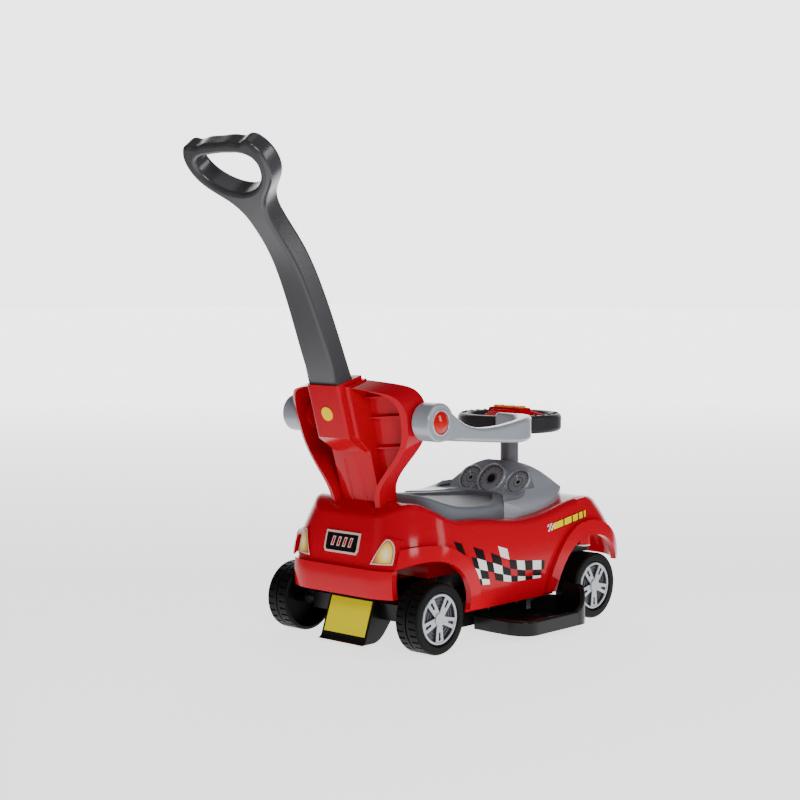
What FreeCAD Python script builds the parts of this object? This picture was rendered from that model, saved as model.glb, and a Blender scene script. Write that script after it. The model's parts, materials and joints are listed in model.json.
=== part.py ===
import FreeCAD
import Part
import math
import os

# Child's push car, all sizes in mm. X forward, Y left, Z up.
# Working origin: on the floor, under the middle of the wheelbase.
V = FreeCAD.Vector

# Clearances
RUN = 0.06            # radial, between a pin and the part that turns on it
FIT = 0.03            # radial, between parts that stay together
FREE = 0.5            # open gap between parts that move past each other

# Wheels and axles
WHEEL_R = 60.0
WHEEL_W = 48.0
WHEEL_Y = 154.0       # mid plane of a wheel
AXLE_X = 214.0        # axle, in front of and behind the middle
AXLE_R = 5.0
TREAD_WALL = 6.0
TREAD_LUGS = 30
LUG_GAP = 3.6         # groove between two lugs
LUG_DEEP = 2.2
LUG_Y = (6.5, 20.5)   # inner and outer end of a groove, from the mid plane
RIM_R = 43.0          # recess that takes the hubcap
DISC_Y = 14.0         # outer face of the wheel disc, from its mid plane
DISC_T = 6.0
HUB_R = 12.0
SPOKES = 5

# Body shell
WALL = 3.0
BODY_BOTTOM = 55.0
BODY_LEVELS = [       # height, rear X, front X, half width, rear corner, front corner
    (46.0, -256.0, 330.0, 150.0, 84.0, 72.0),
    (100.0, -271.0, 346.0, 161.0, 96.0, 80.0),
    (145.0, -270.0, 338.0, 163.0, 98.0, 84.0),
    (205.0, -255.0, 306.0, 150.0, 94.0, 84.0),
    (265.0, -238.0, 256.0, 128.0, 84.0, 78.0),
]
BODY_TOP = [          # X and height of the shoulder line, from the rear to the front
    (-300.0, 188.0), (-262.0, 210.0), (-245.0, 226.0), (-205.0, 245.0), (-168.0, 227.0),
    (-146.0, 216.0), (-103.0, 211.0), (-46.0, 206.0), (22.0, 199.0), (60.0, 199.0),
    (102.0, 203.0), (161.0, 213.0), (200.0, 219.0), (240.0, 220.0), (270.0, 214.0),
    (295.0, 203.0), (318.0, 186.0), (340.0, 160.0), (365.0, 120.0),
]
TOP_ROUND = 15.0
ARCH_R = 94.0
ARCH_Y = 116.0        # inner side of the wheel space
FLARE_OUT = 8.0
FLARE_W = 26.0
FLARE_Y = 122.0       # the flares stay on the sides
REAR_BOTTOM = 90.0
FRONT_BOTTOM = 97.0
BUMPER_TOP = 138.0
BUMPER_OUT = 7.0
TUB_X = (-128.0, 40.0)
TUB_HALF = 72.0
TUB_FLOOR = 108.0
STICKER_T = 2.0
STICKER_GAP = 0.3     # glue under a sticker

# Chassis base, footrests, rear foot
BASE_Z = 18.0
BASE_T = 3.0
BASE_HALF = 112.0
BASE_NOSE = 78.0
FOOT_X = (-58.0, 130.0)
FOOT_Y = 233.0
FOOT_IN = 118.0
FOOT_Z = 12.0
FOOT_RIM = 38.0
FOOT_T = 4.0
KICK_TOP = 78.0
SCREW_R = 2.0
BASE_POST_X = (-90.0, 20.0)
BASE_POST_Y = 50.0
FOOT_SCREW_X = (-20.0, 60.0)
FOOT_SCREW_Z = 44.0
HEEL_HALF = 53.0
HEEL_Z = 6.0

# Seat and console
SEAT_TOP = [          # X and height of the seat edge
    (-204.0, 270.0), (-165.0, 250.0), (-125.0, 236.0), (-85.0, 230.0), (-30.0, 227.0), (30.0, 226.0),
    (80.0, 228.0), (120.0, 232.0),
]
SEAT_REAR = -184.0
SEAT_GAP = 1.0        # seam between seat and console
LID_TOP = 222.0
LID_T = 5.0
LID_GAP = 1.2
LID_HINGE = (-138.0, 219.5)
LID_PIN_R = 2.5
LID_RISE = 26.0       # the seat's rim beside the hinge stands no higher than this above the pin
CONSOLE_FRONT = 248.0
CONSOLE_T = 4.0
DIALS = [(131.0, 0.0, 250.0, 27.0), (139.0, 57.0, 247.0, 23.0), (139.0, -57.0, 247.0, 23.0)]
DIAL_TILT = 34.0
DIAL_DEEP = 4.0
DIAL_FOOT = 231.0     # lower end of the dial panel
DIAL_RIM = 2.5        # the side dials' rims stand this far out of the dial panel

# Backrest, leaning back, and the push handle in its column
LEAN = 16.2
BACK_FOOT = (-191.5, 229.3)
BACK_R = 231.0
BACK_T = 4.0
RIM_DEEP = 42.0
RIM_W = 10.0
RIB_T = 3.0
RIB_AT = (112.0, 166.0, 202.0)
RIB_LOW = 30.0        # ribs end this far inside the rim
BACK_HALF = [         # height along the lean and half width
    (-18.0, 57.0), (16.0, 57.0), (42.0, 61.0), (68.0, 78.0), (100.0, 107.0), (124.0, 123.0),
    (156.0, 131.0), (192.0, 130.0), (208.0, 121.0), (220.0, 98.0), (230.0, 54.0), (235.0, 0.0),
]
SPINE_DEEP = 25.0     # ridge below the column, from the panel's front
SPINE_HALF = (44.0, 46.0)
COL_TOP = 240.0
COL_FOOT = 147.0
COL_SLOPE = 52.0      # height of the sloping underside of the column
STEM_W = 66.0
STEM_T = 40.0
STEM_LOW = 155.0      # lower end of the stem, along the lean
STEM_BACK = 8.0       # from the panel to the stem's room
COL_WALL = 3.5
STEM_PLAY = 0.5
COL_HALF = 0.5 * STEM_W + STEM_PLAY + COL_WALL
SOCKET_DEEP = BACK_T + STEM_BACK + STEM_T + 2.0 * STEM_PLAY
COL_DEEP = SOCKET_DEEP + COL_WALL
STEP_OUT = 9.0        # step along each side of the column
STEP_BACK = 13.0
HANDLE_BUTTON_R = 12.0
HANDLE_BUTTON_AT = 190.0
HANDLE_LINE = [       # X and Z of the rear face above the column, and how thick the handle is there
    (-346.0, 534.0, STEM_T), (-372.0, 594.0, STEM_T), (-405.0, 654.0, STEM_T), (-449.0, 708.0, STEM_T),
    (-487.0, 752.0, STEM_T), (-549.0, 830.5, 30.0), (-558.0, 842.0, 28.0),
]
LOOP_FOOT = 4         # which point of that line is the lower end of the loop's hole
LOOP_HALF = 92.0
LOOP_HOLE_HALF = 68.0
LOOP_HOLE_TOP = 77.0  # from the loop's foot, along the loop
LOOP_TOP = 95.5
GROOVE_W = 12.0       # grooves along the sides of the stem
GROOVE_DEEP = 1.6
HANDLE_WALL = 5.0
NECK_HALF = 23.5

# Safety arms
ARM_X = -208.0
ARM_Z = 385.0
ARM_HUB_R = 32.5
ARM_OUT = 173.0
ARM_IN = 135.0
ARM_T = 23.0
ARM_FLOOR = ARM_OUT - 13.0  # bottom of the button's pocket
ARM_PIN_R = 9.0
ARM_BUTTON_R = 18.5
ARM_BALL_R = 34.0     # roundness of the button's face
ARM_PRESS = 4.0

# Steering
COL_X = 182.0
ROD_R = 5.0
TUBE_R = 17.0
BUSH_R = 20.0
TUBE_Z = (246.0, 344.0)
RING_R = 97.0
RING_W = 22.0
RING_Z = (338.0, 371.0)
PAD_Z = (RING_Z[1] - 3.0, RING_Z[1] + 7.0)
HUB_HALF = 36.0
KING_Y = 146.0
KING_R = 10.0
KING_Z = (131.0, 160.0)
BOSS_Z = 134.0
ARM_L = 40.0          # crank and knuckle arms, equal
LINK_R = 4.0
BAR_Z = (131.5, 136.5)
SOUND_R = 10.5
SOUND_PITCH = 25.0
SOUND_PRESS = 2.0
DOME_R = 5.0          # rubber dome under a sound button

SHAPES = {}


def wire(items):
    """Closed outline: points joined by lines, a list of points inside is one smooth curve."""
    edges = []
    first = items[0]
    last = first
    for item in items[1:]:
        if isinstance(item, list):
            curve = Part.BSplineCurve()
            curve.interpolate([last] + item)
            edges.append(curve.toShape())
            last = item[-1]
        else:
            edges.append(Part.makeLine(last, item))
            last = item
    if (last - first).Length > 1e-6:
        edges.append(Part.makeLine(last, first))
    return Part.Wire(edges)


def prism(items, along):
    return Part.Face(wire(items)).extrude(along)


def side_prism(items, half):
    """Profile given as (x, z) pairs and lists of pairs, cut across the car from -half to half."""
    def place(item):
        if isinstance(item, list):
            return [place(p) for p in item]
        return V(item[0], -half, item[1])
    return prism([place(i) for i in items], V(0, 2.0 * half, 0))


def plan_prism(items, low, high):
    def place(item):
        if isinstance(item, list):
            return [place(p) for p in item]
        return V(item[0], item[1], low)
    return prism([place(i) for i in items], V(0, 0, high - low))


def box(x0, x1, y0, y1, z0, z1):
    return Part.makeBox(x1 - x0, y1 - y0, z1 - z0, V(x0, y0, z0))


def rod(p, q, r):
    axis = q - p
    return Part.makeCylinder(r, axis.Length, p, axis)


def tube(p, q, r_out, r_in):
    return rod(p, q, r_out).cut(rod(p, q, r_in))


def fuse(shapes):
    out = shapes[0]
    for s in shapes[1:]:
        out = out.fuse(s)
    return out.removeSplitter()


def mirrored(shape):
    return shape.mirror(V(0, 0, 0), V(0, 1, 0))


def rounded(shape, radius, keep):
    """Round the edges that keep() picks; a smaller radius is tried before they are left sharp."""
    edges = [e for e in shape.Edges if keep(e)]
    for r in (radius, 0.6 * radius):
        try:
            out = shape.makeFillet(r, edges)
            if out.isValid() and out.Volume > 0.5 * shape.Volume:
                return out
        except Part.OCCError:
            pass
    return shape


def rounded_plan(x0, x1, half, r0, r1, z):
    """Plan outline with rear corners r0 and front corners r1."""
    d0 = r0 * (1.0 - math.sqrt(0.5))
    d1 = r1 * (1.0 - math.sqrt(0.5))
    pts = [
        (V(x0, -half + r0, z), V(x0 + d0, -half + d0, z), V(x0 + r0, -half, z)),
        (V(x1 - r1, -half, z), V(x1 - d1, -half + d1, z), V(x1, -half + r1, z)),
        (V(x1, half - r1, z), V(x1 - d1, half - d1, z), V(x1 - r1, half, z)),
        (V(x0 + r0, half, z), V(x0 + d0, half - d0, z), V(x0, half - r0, z)),
    ]
    edges = []
    for i, (a, b, c) in enumerate(pts):
        edges.append(Part.Arc(a, b, c).toShape())
        edges.append(Part.makeLine(c, pts[(i + 1) % 4][0]))
    return Part.Wire(edges)


def body_block(grow):
    """The body as a block, grown outwards by grow or shrunk when it is negative."""
    sections = []
    for z, x0, x1, half, r0, r1 in BODY_LEVELS:
        sections.append(rounded_plan(x0 - grow, x1 + grow, half + grow, r0 + grow, r1 + grow, z))
    return Part.makeLoft(sections, True, False)


def top_prism(drop, half=260.0, low=-20.0):
    """Everything below the shoulder line, lowered by drop."""
    pts = [(x, z - drop) for x, z in BODY_TOP]
    return side_prism([(pts[0][0], low), pts[0], pts[1:], (pts[-1][0], low)], half)


def body_solid(grow):
    block = body_block(grow).common(top_prism(-grow))

    def on_top(e):
        c = e.CenterOfMass
        if len(e.Vertexes) < 2:
            return False
        a = e.Vertexes[0].Point
        b = e.Vertexes[-1].Point
        for p in (a, b):
            if abs(top_height(p.x) + grow - p.z) > 3.0:
                return False
        return c.z > 150.0
    return rounded(block, TOP_ROUND + grow, on_top)


def top_height(x):
    """Height of the shoulder line at x."""
    for (x0, z0), (x1, z1) in zip(BODY_TOP, BODY_TOP[1:]):
        if x0 <= x <= x1:
            return z0 + (z1 - z0) * (x - x0) / (x1 - x0)
    return BODY_TOP[-1][1]


def make_body():
    outer = body_solid(0.0)
    # Bumper bands and arch flares stand out from the sides
    grown = body_block(BUMPER_OUT)
    rear = grown.common(box(-400, -205, -300, 300, REAR_BOTTOM, BUMPER_TOP))
    front = grown.common(box(300, 420, -300, 300, FRONT_BOTTOM, BUMPER_TOP - 8.0))
    extra = [rear, front]
    wide = body_block(FLARE_OUT)
    for x in (-AXLE_X, AXLE_X):
        ring = rod(V(x, -300, WHEEL_R), V(x, 300, WHEEL_R), ARCH_R + FLARE_W)
        ring = ring.common(wide).common(box(-400, 400, -300, 300, WHEEL_R, 190))
        ring = ring.common(top_prism(TOP_ROUND))
        for side in (-1.0, 1.0):
            near, far = sorted((FLARE_Y * side, 300.0 * side))
            extra.append(ring.common(box(-400, 400, near, far, 0, 300)))
    outer = fuse([outer] + extra)
    shell = outer.cut(body_solid(-WALL)).cut(box(-400, 400, -300, 300, 0, BODY_BOTTOM))
    shell = shell.cut(box(-400, -AXLE_X, -300, 300, 0, REAR_BOTTOM))
    shell = shell.cut(box(AXLE_X, 400, -300, 300, 0, FRONT_BOTTOM))
    # Storage tub below the seat lid
    tub = box(TUB_X[0] - WALL, TUB_X[1] + WALL, -TUB_HALF - WALL, TUB_HALF + WALL, TUB_FLOOR - WALL, 240)
    tub = tub.common(top_prism(2.0))
    shell = shell.fuse(tub)
    shell = shell.cut(box(TUB_X[0], TUB_X[1], -TUB_HALF, TUB_HALF, TUB_FLOOR, 300))
    # Kingpin bosses under the front wings
    limit = body_block(0.0).common(top_prism(1.0))
    for side in (-1.0, 1.0):
        y = side * KING_Y
        boss = rod(V(AXLE_X, y, BOSS_Z), V(AXLE_X, y, 240), KING_R + 6.0)
        boss = boss.common(limit)
        for x in (-AXLE_X, AXLE_X):
            shell = shell.cut(rod(V(x, side * ARCH_Y, WHEEL_R), V(x, side * 300, WHEEL_R), ARCH_R))
        shell = shell.fuse(boss)
        shell = shell.cut(rod(V(AXLE_X, y, BOSS_Z - 1), V(AXLE_X, y, KING_Z[1] + FREE), KING_R + RUN))
    shell = shell.cut(rod(V(COL_X, 0, 150), V(COL_X, 0, 260), TUBE_R - 4.0))
    return shell


def lean(t, y, n):
    """Point in the backrest's own frame: up the lean, to the left, forward."""
    a = math.radians(LEAN)
    x = BACK_FOOT[0] - t * math.sin(a) + n * math.cos(a)
    z = BACK_FOOT[1] + t * math.cos(a) + n * math.sin(a)
    return V(x, y, z)


def lean_prism(items, half):
    """Profile of (n, t) pairs in the leaning side plane, from -half to half across."""
    def place(item):
        if isinstance(item, list):
            return [place(p) for p in item]
        return lean(item[1], -half, item[0])
    return prism([place(i) for i in items], V(0, 2.0 * half, 0))


def back_face(inset):
    pts = []
    for t, half in BACK_HALF:
        pts.append(lean(max(t, -40.0) if half > 0.0 else t - inset, max(half - inset, 0.0), -120.0))
    other = [V(p.x, -p.y, p.z) for p in reversed(pts[:-1])]
    depth = lean(0, 0, 1) - lean(0, 0, 0)
    return prism([pts[0], pts[1:] + other], depth * 260.0)


def back_layer(front, rear):
    """Slice between two depths behind the hollow front of the backrest."""
    low, high = lean(-60, 0, BACK_R), lean(300, 0, BACK_R)
    return tube(low, high, BACK_R + rear, BACK_R + front)


def make_backrest():
    outline = back_face(0.0)
    inside = back_face(RIM_W)
    panel = back_layer(0.0, BACK_T).common(outline)
    rim = back_layer(0.0, RIM_DEEP).common(outline.cut(inside))
    parts = [panel, rim]
    step_half = COL_HALF + STEP_OUT
    rib_zone = back_layer(0.5, RIM_DEEP - RIB_LOW).common(inside)
    rib_zone = rib_zone.cut(lean_prism([(-90, -50), (90, -50), (90, 300), (-90, 300)], step_half - 2.0))
    for t in RIB_AT:
        parts.append(rib_zone.common(lean_prism([(-60, t), (60, t), (60, t + RIB_T), (-60, t + RIB_T)], 200)))
    # Ridge below the column, narrowing downwards, with shallow lines along it
    low, high = SPINE_HALF
    foot = -18.0
    face = [(foot, -low), (foot, low), (COL_FOOT, high), (COL_FOOT, -high)]
    inward = lean(0, 0, 1) - lean(0, 0, 0)
    spine = prism([lean(t, y, -90) for t, y in face], inward * 180.0).common(back_layer(0.5, SPINE_DEEP))
    for y in (-16.0, 16.0):
        ends = [lean(t, y, -SPINE_DEEP - 3.0) for t in (foot - 12.0, COL_FOOT - COL_SLOPE)]
        spine = spine.cut(rod(ends[0], ends[1], 5.0))
    parts.append(spine)
    # Column that takes the stem of the push handle, with a step along each side
    axis = lean(1, 0, 0) - lean(0, 0, 0)
    steps = [(COL_DEEP, COL_HALF, COL_TOP), (COL_DEEP - STEP_BACK, step_half, COL_TOP - 6.0)]
    for deep, half, top in steps:
        under = COL_FOOT - COL_SLOPE
        block = [(-deep, top), (-deep, COL_FOOT), (-10.0, under), (30.0, under), (30.0, top)]
        column = lean_prism(block, half)
        column = rounded(column, 6.0, lambda e: is_along(e, axis) and e.CenterOfMass.x < lean(150, 0, -20).x)
        parts.append(column.cut(rod(lean(-60, 0, BACK_R), lean(300, 0, BACK_R), BACK_R + 0.5)))
    for side in (-1.0, 1.0):
        boss = rod(V(ARM_X, side * 110.0, ARM_Z), V(ARM_X, side * (ARM_IN - FREE), ARM_Z), ARM_HUB_R - 7.0)
        parts.append(boss)
    back = parts[0]
    for s in parts[1:]:
        back = back.fuse(s)
    room = -BACK_T - STEM_BACK
    stem_room = [(room, STEM_LOW), (-SOCKET_DEEP, STEM_LOW), (-SOCKET_DEEP, 320), (room, 320)]
    back = back.cut(lean_prism(stem_room, 0.5 * STEM_W + STEM_PLAY))
    hole = [lean(HANDLE_BUTTON_AT, 0, n) for n in (-COL_DEEP - 5.0, -20.0)]
    back = back.cut(rod(hole[0], hole[1], HANDLE_BUTTON_R + 0.35))
    for side in (-1.0, 1.0):
        pin = rod(V(ARM_X, side * 112.0, ARM_Z), V(ARM_X, side * 300.0, ARM_Z), ARM_PIN_R + FIT)
        back = back.cut(pin)
    return back.cut(top_prism(0.0))


def is_along(edge, axis):
    if len(edge.Vertexes) != 2:
        return False
    d = edge.Vertexes[1].Point - edge.Vertexes[0].Point
    if d.Length < 1e-6:
        return False
    return d.normalize().cross(axis).Length < 1e-3


def handle_band(inset, low):
    """Side view of the stem and loop as a band, made thinner by inset on both faces."""
    def stem_pt(t, depth):
        p = lean(t, 0, -BACK_T - STEM_BACK - STEM_PLAY - depth)
        return (p.x, p.z)
    line = [stem_pt(COL_TOP + 4.0, STEM_T) + (STEM_T,)] + HANDLE_LINE
    rear = []
    front = []
    for i, (x, z, thick) in enumerate(line):
        a = line[max(i - 1, 0)]
        b = line[min(i + 1, len(line) - 1)]
        if i == 0:
            a, b = stem_pt(0.0, 0.0), stem_pt(1.0, 0.0)
        dx, dz = b[0] - a[0], b[1] - a[1]
        size = math.hypot(dx, dz)
        near = min(inset, 0.4 * thick)
        far = thick - near
        rear.append((x + near * dz / size, z - near * dx / size))
        front.append((x + far * dz / size, z - far * dx / size))
    return side_prism([stem_pt(low, STEM_T - inset), rear[0], rear[1:], front[-1], front[:-1][::-1],
                       stem_pt(low, inset)], 120.0)


def loop_prism(items):
    """Outline of (u, y) pairs, u along the loop from its foot, cut square through the handle."""
    foot = HANDLE_LINE[LOOP_FOOT]
    end = HANDLE_LINE[LOOP_FOOT + 1]
    size = math.hypot(end[0] - foot[0], end[1] - foot[1])
    ux, uz = (end[0] - foot[0]) / size, (end[1] - foot[1]) / size

    def place(item):
        if isinstance(item, list):
            return [place(i) for i in item]
        u, y = item
        return V(foot[0] + u * ux - 200.0 * uz, y, foot[1] + u * uz + 200.0 * ux)
    return prism([place(i) for i in items], V(uz, 0, -ux) * 400.0)


def handle_side(inset):
    """Left edge of the handle seen square to the loop, from the column to the loop's top corner."""
    half = 0.5 * STEM_W
    pts = [(-350.0, half), (-240.0, half - 2.0), (-140.0, NECK_HALF + 2.5), (-65.0, NECK_HALF),
           (-42.0, NECK_HALF + 3.0), (-20.0, NECK_HALF + 14.0), (5.0, LOOP_HALF - 28.0),
           (30.0, LOOP_HALF - 7.0), (55.0, LOOP_HALF), (76.0, LOOP_HALF - 3.0),
           (LOOP_TOP - 8.0, LOOP_HALF - 10.0)]
    return [(u, y - inset) for u, y in pts]


def stem_outline(inset):
    """The stem below the loop as an outline, made narrower by inset."""
    left = [(u, y) for u, y in handle_side(inset) if u < 0.0]
    right = [(u, -y) for u, y in reversed(left)]
    return [(-460.0, left[0][1]), left[0], left[1:], right[0], right[1:], (-460.0, -left[0][1])]


def make_handle():
    """Curved stem and D loop: side band cut by the outline seen square to the loop."""
    low = STEM_LOW + 1.0
    left = handle_side(0.0)
    right = [(u, -y) for u, y in reversed(left)]
    horn = [(LOOP_TOP - 1.0, LOOP_HALF - 18.0), (LOOP_TOP, LOOP_HALF - 28.0),
            (LOOP_TOP - 3.0, LOOP_HALF - 38.0), (LOOP_TOP - 0.5, 34.0)]
    tip = horn + [(LOOP_TOP, 0.0)] + [(u, -y) for u, y in reversed(horn)]
    outline = loop_prism([(-460.0, left[0][1]), left[0], left[1:], tip + [right[0]], right[1:],
                          (-460.0, -left[0][1])])
    w = LOOP_HOLE_HALF
    half_hole = [(3.0, 20.0), (17.0, w - 19.0), (40.0, w - 1.0), (60.0, w), (LOOP_HOLE_TOP - 5.0, w - 16.0),
                 (LOOP_HOLE_TOP - 1.0, 24.0)]
    ring = half_hole + [(LOOP_HOLE_TOP, 0.0)] + [(u, -y) for u, y in reversed(half_hole)]
    handle = handle_band(0.0, low).common(outline).cut(loop_prism([(0.0, 0.0), ring + [(0.0, 0.0)]]))
    free = lean(COL_TOP + 2.0, 0, 0).z
    handle = rounded(handle, 7.0, lambda e: e.CenterOfMass.z > free - 60.0 and e.BoundBox.ZMax > free + 20.0)
    # Hollow stem, with a shallow groove along each side
    hollow = handle_band(HANDLE_WALL, HANDLE_BUTTON_AT + 24.0)
    handle = handle.cut(hollow.common(loop_prism(stem_outline(HANDLE_WALL))))
    groove = handle_band(0.5 * (STEM_T - GROOVE_W), COL_TOP + 6.0)
    groove = groove.common(loop_prism(stem_outline(-2.0))).cut(loop_prism(stem_outline(GROOVE_DEEP)))
    handle = handle.cut(groove)
    # Room for the release button's inner end, open down to the stem's end
    slot = [(-SOCKET_DEEP - 1.0, low - 5.0), (-SOCKET_DEEP + 9.0, low - 5.0),
            (-SOCKET_DEEP + 9.0, HANDLE_BUTTON_AT + 16.0), (-SOCKET_DEEP - 1.0, HANDLE_BUTTON_AT + 16.0)]
    handle = handle.cut(lean_prism(slot, HANDLE_BUTTON_R + 3.5))
    return handle


def coil(start, axis, length, radius, wire_r, turns):
    """Coil spring of square wire from start along axis."""
    helix = Part.makeHelix(length / turns, length, radius)
    corners = ((-1.0, -1.0), (1.0, -1.0), (1.0, 1.0), (-1.0, 1.0), (-1.0, -1.0))
    section = Part.makePolygon([V(radius + a * wire_r, 0, b * wire_r) for a, b in corners])
    spring = Part.Wire(helix.Edges).makePipeShell([section], True, True)
    spring.Placement = FreeCAD.Placement(start, FreeCAD.Rotation(V(0, 0, 1), axis))
    return spring


def make_wheel():
    """Moulded wheel round the Y axis, outer side towards +Y, hollow towards the car."""
    h = 0.5 * WHEEL_W
    inner = WHEEL_R - TREAD_WALL
    pts = [(AXLE_R + RUN, -h + 1.0), (HUB_R, -h + 1.0), (HUB_R, DISC_Y - DISC_T), (inner, DISC_Y - DISC_T),
           (inner, -h), (WHEEL_R, -h), (WHEEL_R, h), (RIM_R + 4.0, h), (RIM_R, h - 4.0), (RIM_R, DISC_Y),
           (AXLE_R + RUN, DISC_Y)]
    face = Part.Face(wire([V(r, y, 0) for r, y in pts]))
    wheel = face.revolve(V(0, 0, 0), V(0, 1, 0), 360)
    wheel = rounded(wheel, 7.0, lambda e: abs(e.BoundBox.XMax - WHEEL_R) < 0.1 and e.BoundBox.YLength < 0.1)
    cuts = [tube(V(0, -1.5, 0), V(0, 1.5, 0), WHEEL_R + 1, WHEEL_R - 2.0)]
    for i in range(TREAD_LUGS):
        for side in (-1.0, 1.0):
            near, far = sorted((side * LUG_Y[0], side * LUG_Y[1]))
            notch = box(WHEEL_R - LUG_DEEP, WHEEL_R + 2, near, far, -0.5 * LUG_GAP, 0.5 * LUG_GAP)
            notch.rotate(V(0, 0, 0), V(0, 1, 0), (i + 0.25 * side) * 360.0 / TREAD_LUGS)
            cuts.append(notch)
    return wheel.cut(Part.makeCompound(cuts))


def make_hubcap():
    r = RIM_R - 0.4
    top = DISC_Y + 9.0
    plate = rod(V(0, DISC_Y, 0), V(0, DISC_Y + 3.0, 0), r)
    ring = tube(V(0, DISC_Y, 0), V(0, top, 0), r, r - 4.5)
    ring = rounded(ring, 1.5, lambda e: abs(e.CenterOfMass.y - top) < 0.1)
    parts = [ring, rod(V(0, DISC_Y, 0), V(0, top + 1.0, 0), 11.5)]
    for i in range(SPOKES):
        low = DISC_Y + 2.0
        pts = [V(6, low, -6.0), V(6, low, 6.0), V(r - 3, low, 9.5), V(r - 3, low, -9.5)]
        spoke = Part.Face(Part.makePolygon(pts + [pts[0]])).extrude(V(0, top - low - 1.0, 0))
        slot = fuse([rod(V(24, low + 3, 0), V(24, top, 0), 2.4), rod(V(33, low + 3, 0), V(33, top, 0), 3.2),
                     box(24, 33, low + 3, top, -2.4, 2.4)])
        spoke = spoke.cut(slot)
        spoke.rotate(V(0, 0, 0), V(0, 1, 0), 90.0 + i * 360.0 / SPOKES)
        parts.append(spoke)
    for rr in (20.0, 26.0, 32.0):
        parts.append(tube(V(0, DISC_Y, 0), V(0, DISC_Y + 4.2, 0), rr + 1.2, rr - 1.2))
    cap = plate
    for s in parts:
        cap = cap.fuse(s)
    return cap.cut(rod(V(0, DISC_Y - 1, 0), V(0, DISC_Y + 6.5, 0), 9.5)).removeSplitter()


def make_base():
    """Black tray under the body: deep between the wheels, with a nose under the steering."""
    z = BASE_Z
    line = [(-150.0, 66.0), (-150.0, 60.0), (-104.0, z), (128.0, z), (140.0, 30.0), (200.0, 30.0),
            (200.0, 66.0)]
    block = side_prism(line, BASE_HALF)
    inner = side_prism([(-140.0, 70.0), (-140.0, 60.0), (-102.0, z + BASE_T), (126.0, z + BASE_T),
                        (138.0, 30.0 + BASE_T), (196.0, 30.0 + BASE_T), (196.0, 70.0)], BASE_HALF - BASE_T)
    tray = block.cut(inner)
    for side in (-1.0, 1.0):
        near, far = sorted((side * BASE_NOSE, side * 300.0))
        tray = tray.cut(box(138.0, 300, near, far, 0, 100))
    front = box(135.0, 200.0, -BASE_NOSE, BASE_NOSE, 30, 66)
    front = front.cut(box(125.0, 197.0, -BASE_NOSE + BASE_T, BASE_NOSE - BASE_T, 30 + BASE_T, 70))
    post = rod(V(COL_X, 0, 30.0), V(COL_X, 0, 78.0), 11.0)
    rear = box(-AXLE_X - 14, -AXLE_X + 14, -108.0, 108.0, WHEEL_R - 14, WHEEL_R + 14)
    arm = box(-AXLE_X - 10, -140.0, -80.0, 80.0, WHEEL_R, WHEEL_R + 6)
    tray = fuse([tray, front, post, rear, arm])
    tray = tray.cut(rod(V(COL_X, 0, 40.0), V(COL_X, 0, 100.0), ROD_R + RUN))
    tray = tray.cut(rod(V(-AXLE_X, -300, WHEEL_R), V(-AXLE_X, 300, WHEEL_R), AXLE_R + FIT))
    # Posts up to the floor of the storage tub take the base screws
    for x in BASE_POST_X:
        for side in (-1.0, 1.0):
            y = side * BASE_POST_Y
            tray = tray.fuse(rod(V(x, y, z), V(x, y, TUB_FLOOR - WALL), 6.0))
            tray = tray.cut(rod(V(x, y, z - 1), V(x, y, z + 6.0), 4.2))
            tray = tray.cut(rod(V(x, y, z - 1), V(x, y, TUB_FLOOR), SCREW_R + FIT))
    return tray


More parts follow.
